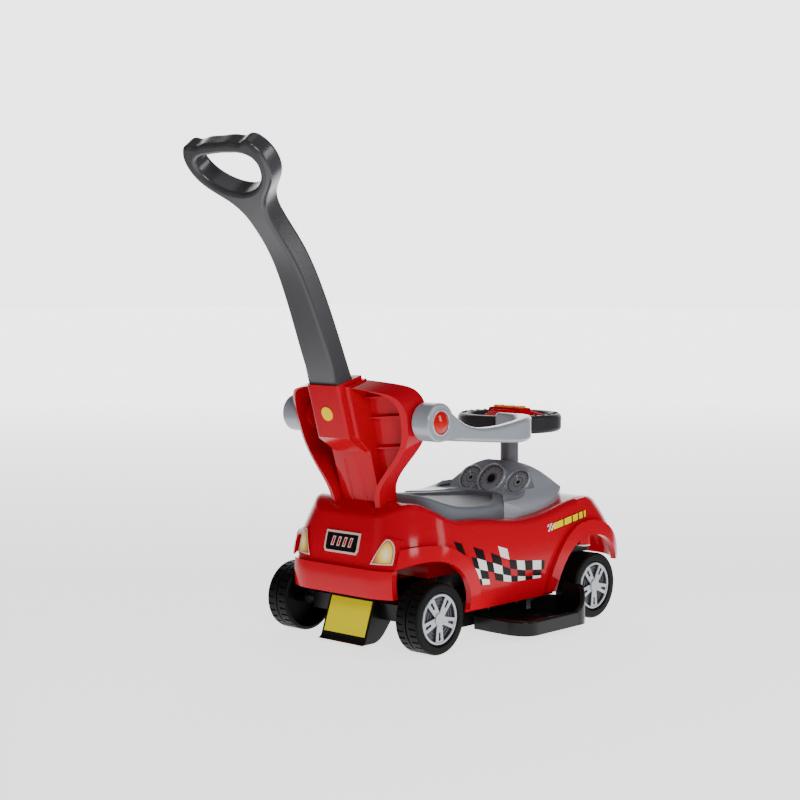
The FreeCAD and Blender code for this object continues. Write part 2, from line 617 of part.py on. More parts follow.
def make_footrest():
    """Left footrest: tray with an upright kick wall at its front."""
    x0, x1 = FOOT_X
    corner = [(x0, 200.0), (x0 + 10, FOOT_Y - 10), (x0 + 34, FOOT_Y)]
    block = plan_prism([(x0, FOOT_IN), corner, (x1 - 40, FOOT_Y), [(x1 - 14, FOOT_Y - 5), (x1, FOOT_Y - 24)],
                        (x1, FOOT_IN + 44), (x1 - 30, FOOT_IN)], FOOT_Z, KICK_TOP)
    rise = [(x1 - 18, 60.0), (x1 - 34, FOOT_RIM + 4), (x1 - 60, FOOT_RIM)]
    side = side_prism([(x0 - 1, FOOT_Z), (x1 + 1, FOOT_Z), (x1 + 1, KICK_TOP), (x1 - 10, KICK_TOP), rise,
                       (x0 - 1, FOOT_RIM)], 300)
    tray = block.common(side)
    tray = rounded(tray, 4.0, lambda e: e.CenterOfMass.z > FOOT_RIM - 1.0)
    corner = [(x0 + 6, 198.0), (x0 + 14, FOOT_Y - 18), (x0 + 36, FOOT_Y - 7)]
    hollow = plan_prism([(x0 + 6, FOOT_IN - 10), corner,
                         (x1 - 42, FOOT_Y - 7), [(x1 - 20, FOOT_Y - 11), (x1 - 8, FOOT_Y - 28)],
                         (x1 - 8, FOOT_IN + 40), (x1 - 36, FOOT_IN - 10)], FOOT_Z + 14.0, 200)
    tray = tray.cut(hollow)
    under = plan_prism([(x0 + FOOT_T, FOOT_IN + FOOT_T), (x0 + FOOT_T, 196.0), (x0 + 36, FOOT_Y - FOOT_T),
                        (x1 - 42, FOOT_Y - FOOT_T), (x1 - 12, FOOT_Y - 34), (x1 - 12, FOOT_IN + 40),
                        (x1 - 40, FOOT_IN + FOOT_T)], FOOT_Z - 1, FOOT_Z + 10.0)
    tray = tray.cut(under)
    oval = [(-6.0, 164.0), (35.0, 158.0), (76.0, 164.0), (90.0, 182.0), (76.0, 200.0), (35.0, 206.0),
            (-6.0, 200.0), (-20.0, 182.0)]
    oval = plan_prism([oval[-1], oval], FOOT_Z + 12.4, 60)
    tray = tray.cut(oval)
    tray = tray.cut(box(x0 - 50, x1 + 50, 0, FOOT_IN + 54.0, BODY_BOTTOM - 2.0, 200))
    # Flange on to the side of the chassis base
    flange = box(x0 + 10, x1 - 40, BASE_HALF, FOOT_IN + 8, FOOT_Z + 10, FOOT_Z + 14)
    lug = box(x0 + 10, x1 - 40, BASE_HALF, BASE_HALF + FOOT_T, BASE_Z + 2, BODY_BOTTOM - 3.0)
    tray = fuse([tray, flange, lug])
    return tray


def make_heel():
    foot = side_prism([(-236.0, 92.0), (-239.0, 80.0), (-262.0, 14.0), [(-266.0, 8.0), (-272.0, HEEL_Z)],
                       (-243.0, HEEL_Z), [(-225.0, HEEL_Z + 7.0), (-205.0, 34.0), (-196.0, WHEEL_R - 16.0)],
                       (-196.0, WHEEL_R - 14.0), (-AXLE_X - 14.0, WHEEL_R - 14.0), (-AXLE_X - 14.0, 92.0)],
                      HEEL_HALF)
    core = side_prism([(-232.0, 80.0), (-255.0, 16.0), (-262.0, HEEL_Z - 1.0), (-243.0, HEEL_Z - 1.0),
                       (-240.0, 20.0), (-216.0, 40.0), (-216.0, 42.0), (-232.0, 42.0)], HEEL_HALF - 4.0)
    return foot.cut(core)


def both(points):
    """Points given for the left side, from the middle line outwards, joined to their mirror images."""
    return [(x, -y) for x, y in reversed(points) if y > 0.0] + points


def seam(shift, inset):
    pts = [(108.0, 0.0), (94.0, 48.0), (62.0, 82.0), (20.0, 119.0)]
    return both([(x + shift, max(y - inset, 0.0)) for x, y in pts])


def seat_block(inset):
    side = [(20.0, 119.0), (-20.0, 128.0), (-100.0, 134.0), (-142.0, 131.0), (-171.0, 118.0),
            (SEAT_REAR, 92.0)]
    side = [(x, y - inset) for x, y in side]
    side[-1] = (SEAT_REAR + inset, side[-1][1])
    front = seam(-inset, inset)
    plan = plan_prism([(side[-1][0], -side[-1][1]), [(x, -y) for x, y in reversed(side[:-1])], front[1:],
                       side[1:]], 150, 320)
    top = [(x, z - inset) for x, z in SEAT_TOP]
    outline = [(-230, 100), (-230, top[0][1] + 8.0), [top[0]] + top[1:], (130, 100)]
    return plan.common(side_prism(outline, 200))


def lid_outline(grow):
    pts = [(98.0 + grow, 0.0), (92.0 + grow, 30.0 + grow), (74.0, 47.0 + grow), (45.0, 70.0 + grow),
           (3.0, 94.0 + grow), (-46.0, 105.0 + grow), (-94.0, 103.0 + grow), (-122.0, 90.0 + grow),
           (LID_HINGE[0], 70.0 + grow)]
    return both(pts)


def lid_relief():
    """Room beside the hinge for the lid's rear corners as they swing up and back."""
    hx = LID_HINGE[0]
    line = [(x - hx, y) for x, y in lid_outline(LID_GAP) if y > 0.0 and hx < x < -40.0]
    swung = [(math.sqrt(d * d - LID_RISE * LID_RISE), y) for d, y in line if d > LID_RISE]
    d_in, y_in = line[-1]
    d_out, y_out = [p for p in line if p[0] > LID_RISE][-1]
    wide = y_in + (y_out - y_in) * (LID_RISE - d_in) / (d_out - d_in)
    left = [(hx + s, y) for s, y in swung] + [(hx, wide), (hx - LID_PIN_R - LID_GAP, wide)]
    right = [(x, -y) for x, y in reversed(left)]
    return plan_prism(left + right, LID_TOP - 1.0, 400)


def make_seat():
    seat = seat_block(0.0).cut(top_prism(0.0))
    seat = rounded(seat, 7.0, lambda e: e.CenterOfMass.z > 224.0 and e.BoundBox.ZLength < 70.0
                   and e.BoundBox.YMin * e.BoundBox.YMax > 0.0)
    under = seat_block(5.0).common(box(-400, 400, -300, 300, 0, LID_TOP - LID_T - 5.0))
    seat = seat.cut(under)
    line = lid_outline(LID_GAP)
    x = LID_HINGE[0] - LID_PIN_R - LID_GAP
    pocket = plan_prism([(x, -70.0 - LID_GAP), line[0], line[1:], (x, 70.0 + LID_GAP)],
                        LID_TOP - LID_T - 0.3, 400)
    seat = seat.cut(pocket).cut(lid_relief())
    well = plan_prism([(TUB_X[0], -60.0), (TUB_X[0], 60.0), (-98.0, 84.0), (0.0, 78.0), (TUB_X[1], 52.0),
                       (TUB_X[1], -52.0), (0.0, -78.0), (-98.0, -84.0)], 100, 400)
    seat = seat.cut(well)
    hx, hz = LID_HINGE
    return seat.cut(rod(V(hx, -80, hz), V(hx, 80, hz), LID_PIN_R + RUN))


def make_lid():
    line = lid_outline(0.0)
    hx, hz = LID_HINGE
    lid = plan_prism([line[0], line[1:]], LID_TOP - LID_T, LID_TOP)
    lid = rounded(lid, 2.0, lambda e: abs(e.CenterOfMass.z - LID_TOP) < 0.01 and e.CenterOfMass.x > hx + 1.0)
    return fuse([lid, rod(V(hx, -79, hz), V(hx, 79, hz), LID_PIN_R)])


def console_block(inset):
    outer = [(CONSOLE_FRONT, 0.0), (238.0, 62.0), (212.0, 98.0), (172.0, 119.0), (120.0, 127.0),
             (60.0, 127.0)]
    outer = [(x - (inset if y < 1.0 else 0.0), max(y - inset, 0.0)) for x, y in outer]
    rear = seam(SEAT_GAP + inset, inset)
    first = rear[0]
    loop = both(outer)
    plan = plan_prism([first, rear[1:], loop[::-1] + [first]], 150, 320)
    side = [(10.0, 226.0), (60.0, 228.0), (92.0, 234.0), (112.0, 248.0), (122.0, 270.0), (136.0, 285.0),
            (152.0, 286.0), (180.0, 267.0), (206.0, 236.0), (228.0, 204.0), (252.0, 172.0)]
    side = [(x, z - inset) for x, z in side]
    block = plan.common(side_prism([(10.0, 100.0), side[0], side[1:], (side[-1][0], 100.0)], 200))
    section = [(127.0, 212.0), (123.0, 222.0), (113.0, 231.0), (101.0, 240.0), (89.0, 252.0), (75.0, 265.0),
               (56.0, 276.0), (32.0, 283.0), (0.0, 286.0)]
    left = [V(-50, y - inset, z - inset) for y, z in section[:-1]]
    right = [V(-50, -p.y, p.z) for p in reversed(left)]
    top = V(-50, 0, section[-1][1] - inset)
    y = 127.0 - inset
    cross = prism([V(-50, y, 100), left[0], left[1:] + [top] + right, V(-50, -y, 100)], V(400, 0, 0))
    return block.common(cross)


def dial_facing():
    a = math.radians(DIAL_TILT)
    return V(-math.cos(a), 0, math.sin(a))


def make_console():
    f = dial_facing()
    # Flat dial panel, just behind the rims of the side dials
    side = V(DIALS[1][0], 0, DIALS[1][2]) + f * (DIAL_DEEP - DIAL_RIM)
    up = V(f.z, 0, -f.x)
    low = side - up * ((side.z - DIAL_FOOT) / up.z)
    high = side + up * 80.0
    rear = V(-100.0, 0, 0)
    panel = prism([p + V(0, -100, 0) for p in (low, high, high + rear, low + rear)], V(0, 200, 0))
    hollow = console_block(CONSOLE_T).common(box(-400, 400, -300, 300, 0, 262.0))
    hollow = hollow.cut(panel.translated(f * -CONSOLE_T))
    shape = console_block(0.0).cut(hollow).cut(panel).cut(top_prism(0.0))
    for x, y, z, r in DIALS:
        c = V(x, y, z)
        pod = rod(c - f * 34.0, c + f * DIAL_DEEP, r + 4.0)
        pod = rounded(pod, 2.5, lambda e: (e.CenterOfMass - c - f * DIAL_DEEP).Length < 0.5)
        shape = shape.fuse(pod.cut(top_prism(0.0)))
    for x, y, z, r in DIALS:
        c = V(x, y, z)
        shape = shape.cut(rod(c, c + f * 40.0, r))
    shape = shape.cut(rod(V(COL_X, 0, 150), V(COL_X, 0, 320), BUSH_R + FIT))
    return shape


def make_bush():
    """Column bush: sleeve through the console, resting on the body."""
    low = top_height(COL_X)
    bush = rod(V(COL_X, 0, low - 2.0), V(COL_X, 0, TUBE_Z[0] - FREE), BUSH_R)
    bush = bush.cut(top_prism(0.0))
    return bush.cut(rod(V(COL_X, 0, 100), V(COL_X, 0, 400), ROD_R + RUN))


def make_arm():
    """Left safety arm: pivot hub, waisted side and a front part turned in towards the middle."""
    outer = [(-10.0, ARM_OUT - 1.0), (36.0, ARM_OUT - 10.0), (66.0, 143.0), (80.0, 114.0), (84.0, 62.0)]
    inside = ARM_OUT - ARM_T
    inner = [(62.0, 60.0), (58.0, 106.0), (46.0, 127.0), (22.0, inside - 6.0), (-14.0, inside)]
    plan = plan_prism([(ARM_X, ARM_OUT - 1.0), outer[0], outer[1:], inner[0], inner[1:], (ARM_X, inside)],
                      300, 450)
    top = [(-189.0, 408.0), (-141.0, 379.0), (-89.0, 369.0), (-36.0, 371.0), (20.0, 378.0), (60.0, 381.0),
           (95.0, 378.0)]
    low = [(95.0, 346.0), (60.0, 339.0), (20.0, 337.0), (-62.0, 342.0), (-141.0, 349.0), (-195.0, 354.0)]
    arm = plan.common(side_prism([(ARM_X, 417.0), [top[0]] + top[1:], low[0], low[1:], (ARM_X, 353.0)], 250))
    arm = rounded(arm, 7.0, lambda e: e.BoundBox.XMax > -100.0 and e.CenterOfMass.x > -150.0)
    hub = rod(V(ARM_X, ARM_IN, ARM_Z), V(ARM_X, ARM_OUT, ARM_Z), ARM_HUB_R)
    hub = rounded(hub, 3.5, lambda e: min(abs(e.CenterOfMass.y - y) for y in (ARM_OUT, ARM_IN)) < 0.01)
    arm = fuse([hub, arm])
    arm = arm.cut(rod(V(ARM_X, ARM_IN - 1, ARM_Z), V(ARM_X, ARM_OUT + 1, ARM_Z), ARM_PIN_R + RUN))
    pocket = rod(V(ARM_X, ARM_FLOOR, ARM_Z), V(ARM_X, ARM_OUT + 1, ARM_Z), ARM_BUTTON_R + 0.4)
    return arm.cut(pocket)


def make_arm_button():
    back = V(ARM_X, ARM_FLOOR + ARM_PRESS + 2.0, ARM_Z)
    face = V(ARM_X, ARM_OUT + 5.0, ARM_Z)
    button = rod(back, face, ARM_BUTTON_R)
    ball = Part.makeSphere(ARM_BALL_R, V(face.x, face.y - ARM_BALL_R, face.z))
    return button.common(ball)


def make_steering_wheel():
    c = V(COL_X, 0, 0)
    z0, z1 = RING_Z
    pts = [V(RING_R - RING_W, 0, z0), V(RING_R, 0, z0), V(RING_R, 0, z1), V(RING_R - RING_W, 0, z1)]
    ring = Part.Face(Part.makePolygon(pts + [pts[0]])).revolve(V(0, 0, 0), V(0, 0, 1), 360)
    ring = rounded(ring, 8.0, lambda e: e.BoundBox.ZLength < 0.1)
    ring.translate(c)
    hub = rod(c + V(0, 0, z0), c + V(0, 0, z1 - 3.0), HUB_HALF)
    parts = [ring, hub]
    for a in (60.0, 180.0, 300.0):
        spoke = box(20, RING_R - 8.0, -15.0, 15.0, z0 + 5.0, z1 - 9.0)
        spoke.rotate(V(0, 0, 0), V(0, 0, 1), a)
        spoke.translate(c)
        parts.append(spoke)
    wheel = fuse(parts)
    wheel = wheel.cut(tube(c + V(0, 0, z0 - 1), c + V(0, 0, z1 - 7.0), HUB_HALF - 3.0, TUBE_R + 2.5))
    wheel = wheel.cut(rod(c + V(0, 0, z0 - 1), c + V(0, 0, z0 + 14.0), TUBE_R + FIT))
    wheel = wheel.cut(rod(c + V(0, 0, z0), c + V(0, 0, z0 + 16.0), ROD_R + FIT))
    return wheel


def make_pad():
    """Red pad on the hub, with three arms along the spokes and a raised button bridge."""
    c = V(COL_X, 0, 0)
    z0, z1 = PAD_Z
    dome = Part.makeCone(HUB_HALF + 10.0, HUB_HALF - 4.0, z1 - z0, c + V(0, 0, z0))
    parts = [dome]
    for a in (60.0, 180.0, 300.0):
        outer = RING_R - RING_W - 1.0
        arm = side_prism([(20.0, z0), (outer, z0 - 5.0), (outer, z0 - 2.0), (30.0, z1 - 1.0),
                          (20.0, z1 - 1.0)], 13.0)
        arm.rotate(V(0, 0, 0), V(0, 0, 1), a)
        arm.translate(c)
        parts.append(arm)
    half = SOUND_PITCH + SOUND_R + 4.0
    bridge = box(COL_X - SOUND_R - 6.0, COL_X + SOUND_R + 6.0, -half, half, z0, z1 + 3.0)
    bridge = rounded(bridge, 4.0, lambda e: e.CenterOfMass.z > z0 + 1.0)
    parts.append(bridge)
    pad = fuse(parts)
    wheel_room = make_steering_wheel()
    pad = pad.cut(wheel_room).cut(rod(c + V(0, 0, z0 - 20), c + V(0, 0, z0), HUB_HALF + 30.0))
    for i in (-1, 0, 1):
        at = c + V(0, i * SOUND_PITCH, 0)
        pad = pad.cut(rod(at + V(0, 0, z0 + 3.0), at + V(0, 0, z1 + 20), SOUND_R + 0.35))
    return pad


def make_rod():
    """Steel steering rod with its crank and crank pin."""
    z = BAR_Z[1] + 0.4
    shaft = rod(V(COL_X, 0, 40.4), V(COL_X, 0, RING_Z[0] + 16.0), ROD_R)
    crank = fuse([box(COL_X - ARM_L, COL_X, -8.0, 8.0, z, z + 6.0),
                  rod(V(COL_X, 0, z), V(COL_X, 0, z + 6.0), 10.0),
                  rod(V(COL_X - ARM_L, 0, z), V(COL_X - ARM_L, 0, z + 6.0), 8.0)])
    pin = rod(V(COL_X - ARM_L, 0, BAR_Z[0] - 0.5), V(COL_X - ARM_L, 0, z), LINK_R)
    return fuse([shaft, crank, pin])


def make_bar():
    """Tie bar from knuckle to knuckle, bent round the steering rod."""
    mid = V(COL_X - ARM_L, 0, BAR_Z[0])
    up = V(0, 0, BAR_Z[1] - BAR_Z[0])
    parts = [rod(mid, mid + up, 9.0)]
    for side in (-1.0, 1.0):
        end = V(AXLE_X - ARM_L, side * KING_Y, BAR_Z[0])
        along = end - mid
        across = V(-along.y, along.x, 0).normalize() * 6.0
        pts = [mid + across, end + across, end - across, mid - across]
        parts.append(Part.Face(Part.makePolygon(pts + [pts[0]])).extrude(up))
        parts.append(rod(end, end + up, 9.0))
    bar = fuse(parts).cut(rod(mid - up, mid + up * 2.0, LINK_R + RUN))
    for side in (-1.0, 1.0):
        end = V(AXLE_X - ARM_L, side * KING_Y, BAR_Z[0])
        bar = bar.cut(rod(end - up, end + up * 2.0, LINK_R + 0.35))
    return bar


def make_knuckle():
    """Left knuckle: kingpin above the wheel, leg down its inner side, steering arm to the rear."""
    top = KING_Z[0]
    low = WHEEL_R + WHEEL_R + 3.0
    inner = WHEEL_Y - 0.5 * WHEEL_W - 3.0
    leg = box(AXLE_X - 13, AXLE_X + 13, inner - 14.0, inner, WHEEL_R - 14.0, top)
    leg = rounded(leg, 5.0, lambda e: e.CenterOfMass.z < WHEEL_R and e.BoundBox.XLength < 1.0)
    over = box(AXLE_X - 13, AXLE_X + 13, inner - 14.0, KING_Y, low, top)
    cap = rod(V(AXLE_X, KING_Y, low), V(AXLE_X, KING_Y, top), 13.0)
    arm = box(AXLE_X - ARM_L, AXLE_X, KING_Y - 9.0, KING_Y + 9.0, low, top)
    eye = rod(V(AXLE_X - ARM_L, KING_Y, low), V(AXLE_X - ARM_L, KING_Y, top), 9.0)
    king = rod(V(AXLE_X, KING_Y, top), V(AXLE_X, KING_Y, KING_Z[1]), KING_R)
    pin = rod(V(AXLE_X - ARM_L, KING_Y, top), V(AXLE_X - ARM_L, KING_Y, BAR_Z[1] + 1.5), LINK_R)
    boss = rod(V(AXLE_X, inner - 1, WHEEL_R), V(AXLE_X, inner + 3.6, WHEEL_R), 10.0)
    shape = fuse([leg, over, cap, arm, eye, king, pin, boss])
    return shape.cut(rod(V(AXLE_X, 0, WHEEL_R), V(AXLE_X, 300, WHEEL_R), AXLE_R + FIT))


def make_stub():
    """Left stub axle, headed at both ends."""
    inner = WHEEL_Y - 0.5 * WHEEL_W - 17.0
    end = WHEEL_Y + DISC_Y + 0.4
    return fuse([rod(V(AXLE_X, inner - 3.0, WHEEL_R), V(AXLE_X, end, WHEEL_R), AXLE_R),
                 rod(V(AXLE_X, inner - 3.0, WHEEL_R), V(AXLE_X, inner, WHEEL_R), 8.0),
                 rod(V(AXLE_X, end, WHEEL_R), V(AXLE_X, end + 3.0, WHEEL_R), 8.0)])


def sticker(points, end):
    """Plate lying on the rear (end -1) or the front (end 1) of the body, outline given as (y, z) pairs."""
    tool = prism([V(180.0 * end, y, z) for y, z in points], V(200.0 * end, 0, 0))
    inner = body_block(0.0)
    inner.translate(V(end * STICKER_GAP, 0, 0))
    outer = inner.copy()
    outer.translate(V(end * STICKER_T, 0, 0))
    return tool.common(outer.cut(inner))


def screw(tip, head, r, head_r, head_t):
    """Screw from tip to head, its head under the end point."""
    axis = head - tip
    axis.normalize()
    shape = fuse([rod(tip, head, r), rod(head, head + axis * head_t, head_r)])
    slot_end = head + axis * (head_t + 1.0)
    return shape.cut(rod(head + axis * (0.4 * head_t), slot_end, 0.45 * head_r))


# All pieces
SHAPES["body_shell"] = make_body()
SHAPES["chassis_base"] = make_base()
SHAPES["rear_foot"] = make_heel()
label = side_prism([(-240.0, 76.0), (-260.4, 18.0), (-261.6, 18.4), (-241.2, 76.4)], 48.0)
SHAPES["foot_label"] = label.cut(SHAPES["rear_foot"])
SHAPES["footrest_left"] = make_footrest()
SHAPES["footrest_right"] = mirrored(SHAPES["footrest_left"])
SHAPES["seat_surround"] = make_seat()
SHAPES["seat_lid"] = make_lid()
SHAPES["console"] = make_console()
facing = dial_facing()
dials = [rod(V(x, y, z), V(x, y, z) + facing * 1.5, r - 0.2) for x, y, z, r in DIALS]
SHAPES["gauge_dials"] = Part.makeCompound(dials)
SHAPES["backrest"] = make_backrest()
SHAPES["handle"] = make_handle()
press = lean(HANDLE_BUTTON_AT, 0, -COL_DEEP)
inward = lean(0, 0, 1) - lean(0, 0, 0)
key = rod(press - inward * 2.0, press + inward * (COL_WALL + 1.5), HANDLE_BUTTON_R)
SHAPES["handle_button"] = key
slot_floor = lean(HANDLE_BUTTON_AT, 0, -SOCKET_DEEP + 9.0)
SHAPES["handle_button_spring"] = coil(slot_floor - inward * 0.6, inward * -1.0, 6.3, 7.0, 0.6, 2.0)
end = WHEEL_Y + DISC_Y
SHAPES["rear_axle"] = rod(V(-AXLE_X, -end - 4.0, WHEEL_R), V(-AXLE_X, end + 4.0, WHEEL_R), AXLE_R)
cap = rod(V(-AXLE_X, end + 0.4, WHEEL_R), V(-AXLE_X, end + 6.0, WHEEL_R), 8.0)
cap = cap.cut(rod(V(-AXLE_X, end, WHEEL_R), V(-AXLE_X, end + 4.0, WHEEL_R), AXLE_R + FIT))
SHAPES["rear_axle_caps"] = Part.makeCompound([cap, mirrored(cap)])
washer = tube(V(AXLE_X, KING_Y, KING_Z[0] + 0.4), V(AXLE_X, KING_Y, BOSS_Z), KING_R + 6.0, KING_R + 0.4)
SHAPES["kingpin_washers"] = Part.makeCompound([washer, mirrored(washer)])
lamp = [(70.0, 145.0), (114.0, 146.0), (120.0, 188.0), (92.0, 193.0)]
SHAPES["tail_light_left"] = sticker(lamp, -1.0)
SHAPES["tail_light_right"] = mirrored(SHAPES["tail_light_left"])
plate = [(-36.0, 158.0), (36.0, 158.0), (40.0, 164.0), (40.0, 194.0), (-40.0, 194.0), (-40.0, 164.0)]
SHAPES["number_plate"] = sticker(plate, -1.0)
lens = [(80.0, 140.0), (130.0, 144.0), (132.0, 166.0), (90.0, 168.0)]
SHAPES["headlight_left"] = sticker(lens, 1.0)
SHAPES["headlight_right"] = mirrored(SHAPES["headlight_left"])
SHAPES["column_bush"] = make_bush()
SHAPES["arm_pin_left"] = rod(V(ARM_X, 112.0, ARM_Z), V(ARM_X, ARM_FLOOR - 1.0, ARM_Z), ARM_PIN_R)
SHAPES["arm_pin_right"] = mirrored(SHAPES["arm_pin_left"])
SHAPES["arm_left"] = make_arm()
SHAPES["arm_right"] = mirrored(SHAPES["arm_left"])
SHAPES["arm_button_left"] = make_arm_button()
SHAPES["arm_button_right"] = mirrored(SHAPES["arm_button_left"])
spring = coil(V(ARM_X, ARM_FLOOR + 0.6, ARM_Z), V(0, 1, 0), ARM_PRESS + 0.8, 13.0, 0.6, 2.0)
SHAPES["arm_button_spring_left"] = spring
SHAPES["arm_button_spring_right"] = mirrored(spring)
SHAPES["steering_rod"] = make_rod()
c = V(COL_X, 0, 0)
tube_shape = rod(c + V(0, 0, TUBE_Z[0]), c + V(0, 0, RING_Z[0] + 13.0), TUBE_R)
tube_shape = tube_shape.cut(rod(c + V(0, 0, TUBE_Z[0] - 1), c + V(0, 0, 400), ROD_R + FIT))
hole_z = 322.0
tube_shape = tube_shape.cut(rod(V(COL_X, 0, hole_z), V(COL_X, -40, hole_z), 1.5 + FIT))
SHAPES["column_tube"] = tube_shape
SHAPES["steering_wheel"] = make_steering_wheel()
SHAPES["steering_pad"] = make_pad()
door = tube(c + V(0, 0, RING_Z[0] - 3.0), c + V(0, 0, RING_Z[0]), HUB_HALF - 1.0, TUBE_R + 3.0)
SHAPES["battery_door"] = door
cell_z = RING_Z[0] + 6.5
cells = [rod(V(COL_X - 11.5, y, cell_z), V(COL_X + 11.5, y, cell_z), 5.2) for y in (-25.3, 25.3)]
SHAPES["batteries"] = Part.makeCompound(cells)
board = [c + V(0, 0, RING_Z[1] - below) for below in (9.0, 7.0)]
SHAPES["sound_board"] = tube(board[0], board[1], HUB_HALF - 4.0, TUBE_R + 4.0)
SHAPES["steering_screws"] = Part.makeCompound([
    screw(V(COL_X, -ROD_R - 0.5, hole_z), V(COL_X, -TUBE_R, hole_z), 1.5, 3.0, 2.0)])
for i, key_name in ((-1, "sound_button_right"), (0, "sound_button_middle"), (1, "sound_button_left")):
    at = V(COL_X, i * SOUND_PITCH, 0)
    z0 = PAD_Z[0] + 3.0 + SOUND_PRESS + 1.0
    knob = rod(at + V(0, 0, z0), at + V(0, 0, PAD_Z[1] + 7.0), SOUND_R)
    SHAPES[key_name] = rounded(knob, 2.0, lambda e: e.CenterOfMass.z > z0 + 1.0 and e.BoundBox.ZLength < 0.1)
domes = []
for i in (-1, 0, 1):
    foot = V(COL_X, i * SOUND_PITCH, PAD_Z[0] + 3.0 + FREE)
    high = SOUND_PRESS + 1.0 - 2.0 * FREE
    dome = Part.makeCone(DOME_R, DOME_R - 1.5, high, foot)
    domes.append(dome.cut(Part.makeCone(DOME_R - 1.2, DOME_R - 2.7, high, foot)))
SHAPES["sound_button_domes"] = Part.makeCompound(domes)
SHAPES["tie_bar"] = make_bar()
SHAPES["knuckle_left"] = make_knuckle()
SHAPES["knuckle_right"] = mirrored(SHAPES["knuckle_left"])
SHAPES["stub_axle_left"] = make_stub()
SHAPES["stub_axle_right"] = mirrored(SHAPES["stub_axle_left"])
wheel = make_wheel()
hubcap = make_hubcap()
for x, end_name in ((-AXLE_X, "rear"), (AXLE_X, "front")):
    for side, side_name in ((1.0, "left"), (-1.0, "right")):
        for piece, piece_name in ((wheel, "wheel"), (hubcap, "hubcap")):
            shape = piece.copy() if side > 0.0 else mirrored(piece)
            shape.translate(V(x, side * WHEEL_Y, WHEEL_R))
            SHAPES[piece_name + "_" + end_name + "_" + side_name] = shape


def drill(name, tip, head):
    """Screw hole through a piece."""
    SHAPES[name] = SHAPES[name].cut(rod(tip, head, SCREW_R + FIT))


back_screws = []
for y in (-30.0, 30.0):
    tip = V(BACK_FOOT[0] - 11.0, y, BACK_FOOT[1] + 36.0)
    head = V(tip.x, y, top_height(tip.x) - WALL - 1.5)
    back_screws.append(screw(tip, head, SCREW_R, 4.0, 2.5))
    drill("backrest", tip, head)
    drill("body_shell", tip, head)
SHAPES["backrest_screws"] = Part.makeCompound(back_screws)
base_screws = []
for x in BASE_POST_X:
    for y in (-BASE_POST_Y, BASE_POST_Y):
        tip = V(x, y, TUB_FLOOR - 0.5)
        head = V(x, y, BASE_Z + 6.0)
        base_screws.append(screw(tip, head, SCREW_R, 4.0, 2.5))
        drill("body_shell", tip, head)
for side, name in ((-1.0, "footrest_right"), (1.0, "footrest_left")):
    for x in FOOT_SCREW_X:
        tip = V(x, side * (BASE_HALF - 8.0), FOOT_SCREW_Z)
        head = V(x, side * (BASE_HALF + FOOT_T), FOOT_SCREW_Z)
        base_screws.append(screw(tip, head, SCREW_R, 4.0, 2.5))
        drill("chassis_base", tip, head)
        drill(name, tip, head)
SHAPES["base_screws"] = Part.makeCompound(base_screws)

# Origin under the middle of the whole car
bounds = FreeCAD.BoundBox()
for shape in SHAPES.values():
    bounds.add(shape.optimalBoundingBox(True, False))
MOVE = V(-0.5 * (bounds.XMin + bounds.XMax), 0, -bounds.ZMin)
os.makedirs("parts", exist_ok=True)
for name, shape in SHAPES.items():
    shape.translate(MOVE)
    shape.exportStep("parts/" + name + ".step")
    print(name, shape.isValid(), len(shape.Solids), round(shape.Volume / 1000.0, 1))
print("moved", MOVE.x, MOVE.z, "overall", bounds.XLength, bounds.YLength, bounds.ZLength)
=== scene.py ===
import json
import math

import bpy
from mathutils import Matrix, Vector
from mathutils.bvhtree import BVHTree


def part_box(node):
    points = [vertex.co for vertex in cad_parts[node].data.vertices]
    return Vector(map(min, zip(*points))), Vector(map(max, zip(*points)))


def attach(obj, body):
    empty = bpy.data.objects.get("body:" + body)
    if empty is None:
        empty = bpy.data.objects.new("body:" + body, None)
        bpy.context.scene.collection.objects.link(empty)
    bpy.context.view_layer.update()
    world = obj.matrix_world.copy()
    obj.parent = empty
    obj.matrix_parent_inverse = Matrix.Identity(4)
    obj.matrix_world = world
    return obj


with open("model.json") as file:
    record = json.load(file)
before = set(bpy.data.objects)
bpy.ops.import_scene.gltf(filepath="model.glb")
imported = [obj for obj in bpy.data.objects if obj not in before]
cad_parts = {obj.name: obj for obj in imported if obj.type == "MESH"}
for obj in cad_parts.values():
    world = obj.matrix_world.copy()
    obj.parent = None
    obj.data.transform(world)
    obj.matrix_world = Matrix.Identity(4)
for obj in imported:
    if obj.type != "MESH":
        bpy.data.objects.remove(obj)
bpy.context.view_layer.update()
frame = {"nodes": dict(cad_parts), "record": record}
nodes = frame["nodes"]

# The frame is in metres. Sizes and places named here are in mm where nothing else is said.
MM = 0.001
AHEAD = Vector((1, 0, 0))
LEFTWARD = Vector((0, 1, 0))
UPWARD = Vector((0, 0, 1))
SIDES = ((-1.0, "right"), (1.0, "left"))     # sign along Y, and name


def axle_place(wheel):
    """Lengthways place of a wheel's axle, in metres."""
    low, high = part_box(wheel)
    return 0.5 * (low[0] + high[0])


# Point on the floor under the middle of the wheelbase: prints, dials and camera are placed from it
wheelbase_middle = AHEAD * (0.5 * (axle_place("wheel_rear_right") + axle_place("wheel_front_right")))

# Camera, from a pinhole fit to the photograph: metres from the middle of the wheelbase, and degrees
CAMERA_FROM_MIDDLE = Vector((-2.2753, -1.9986, 0.6159))
CAMERA_YAW = 42.85
CAMERA_PITCH = -4.01
FOCAL_PIXELS = 1686.0
PHOTO_PIXELS = 800.0
SENSOR_MM = 36.0
CLIP_END = 200.0     # metres


def linear(hex_colour):
    """sRGB hex to linear RGBA."""
    parts = [int(hex_colour[i:i + 2], 16) / 255.0 for i in (1, 3, 5)]
    return [p / 12.92 if p <= 0.04045 else ((p + 0.055) / 1.055) ** 2.4 for p in parts] + [1.0]


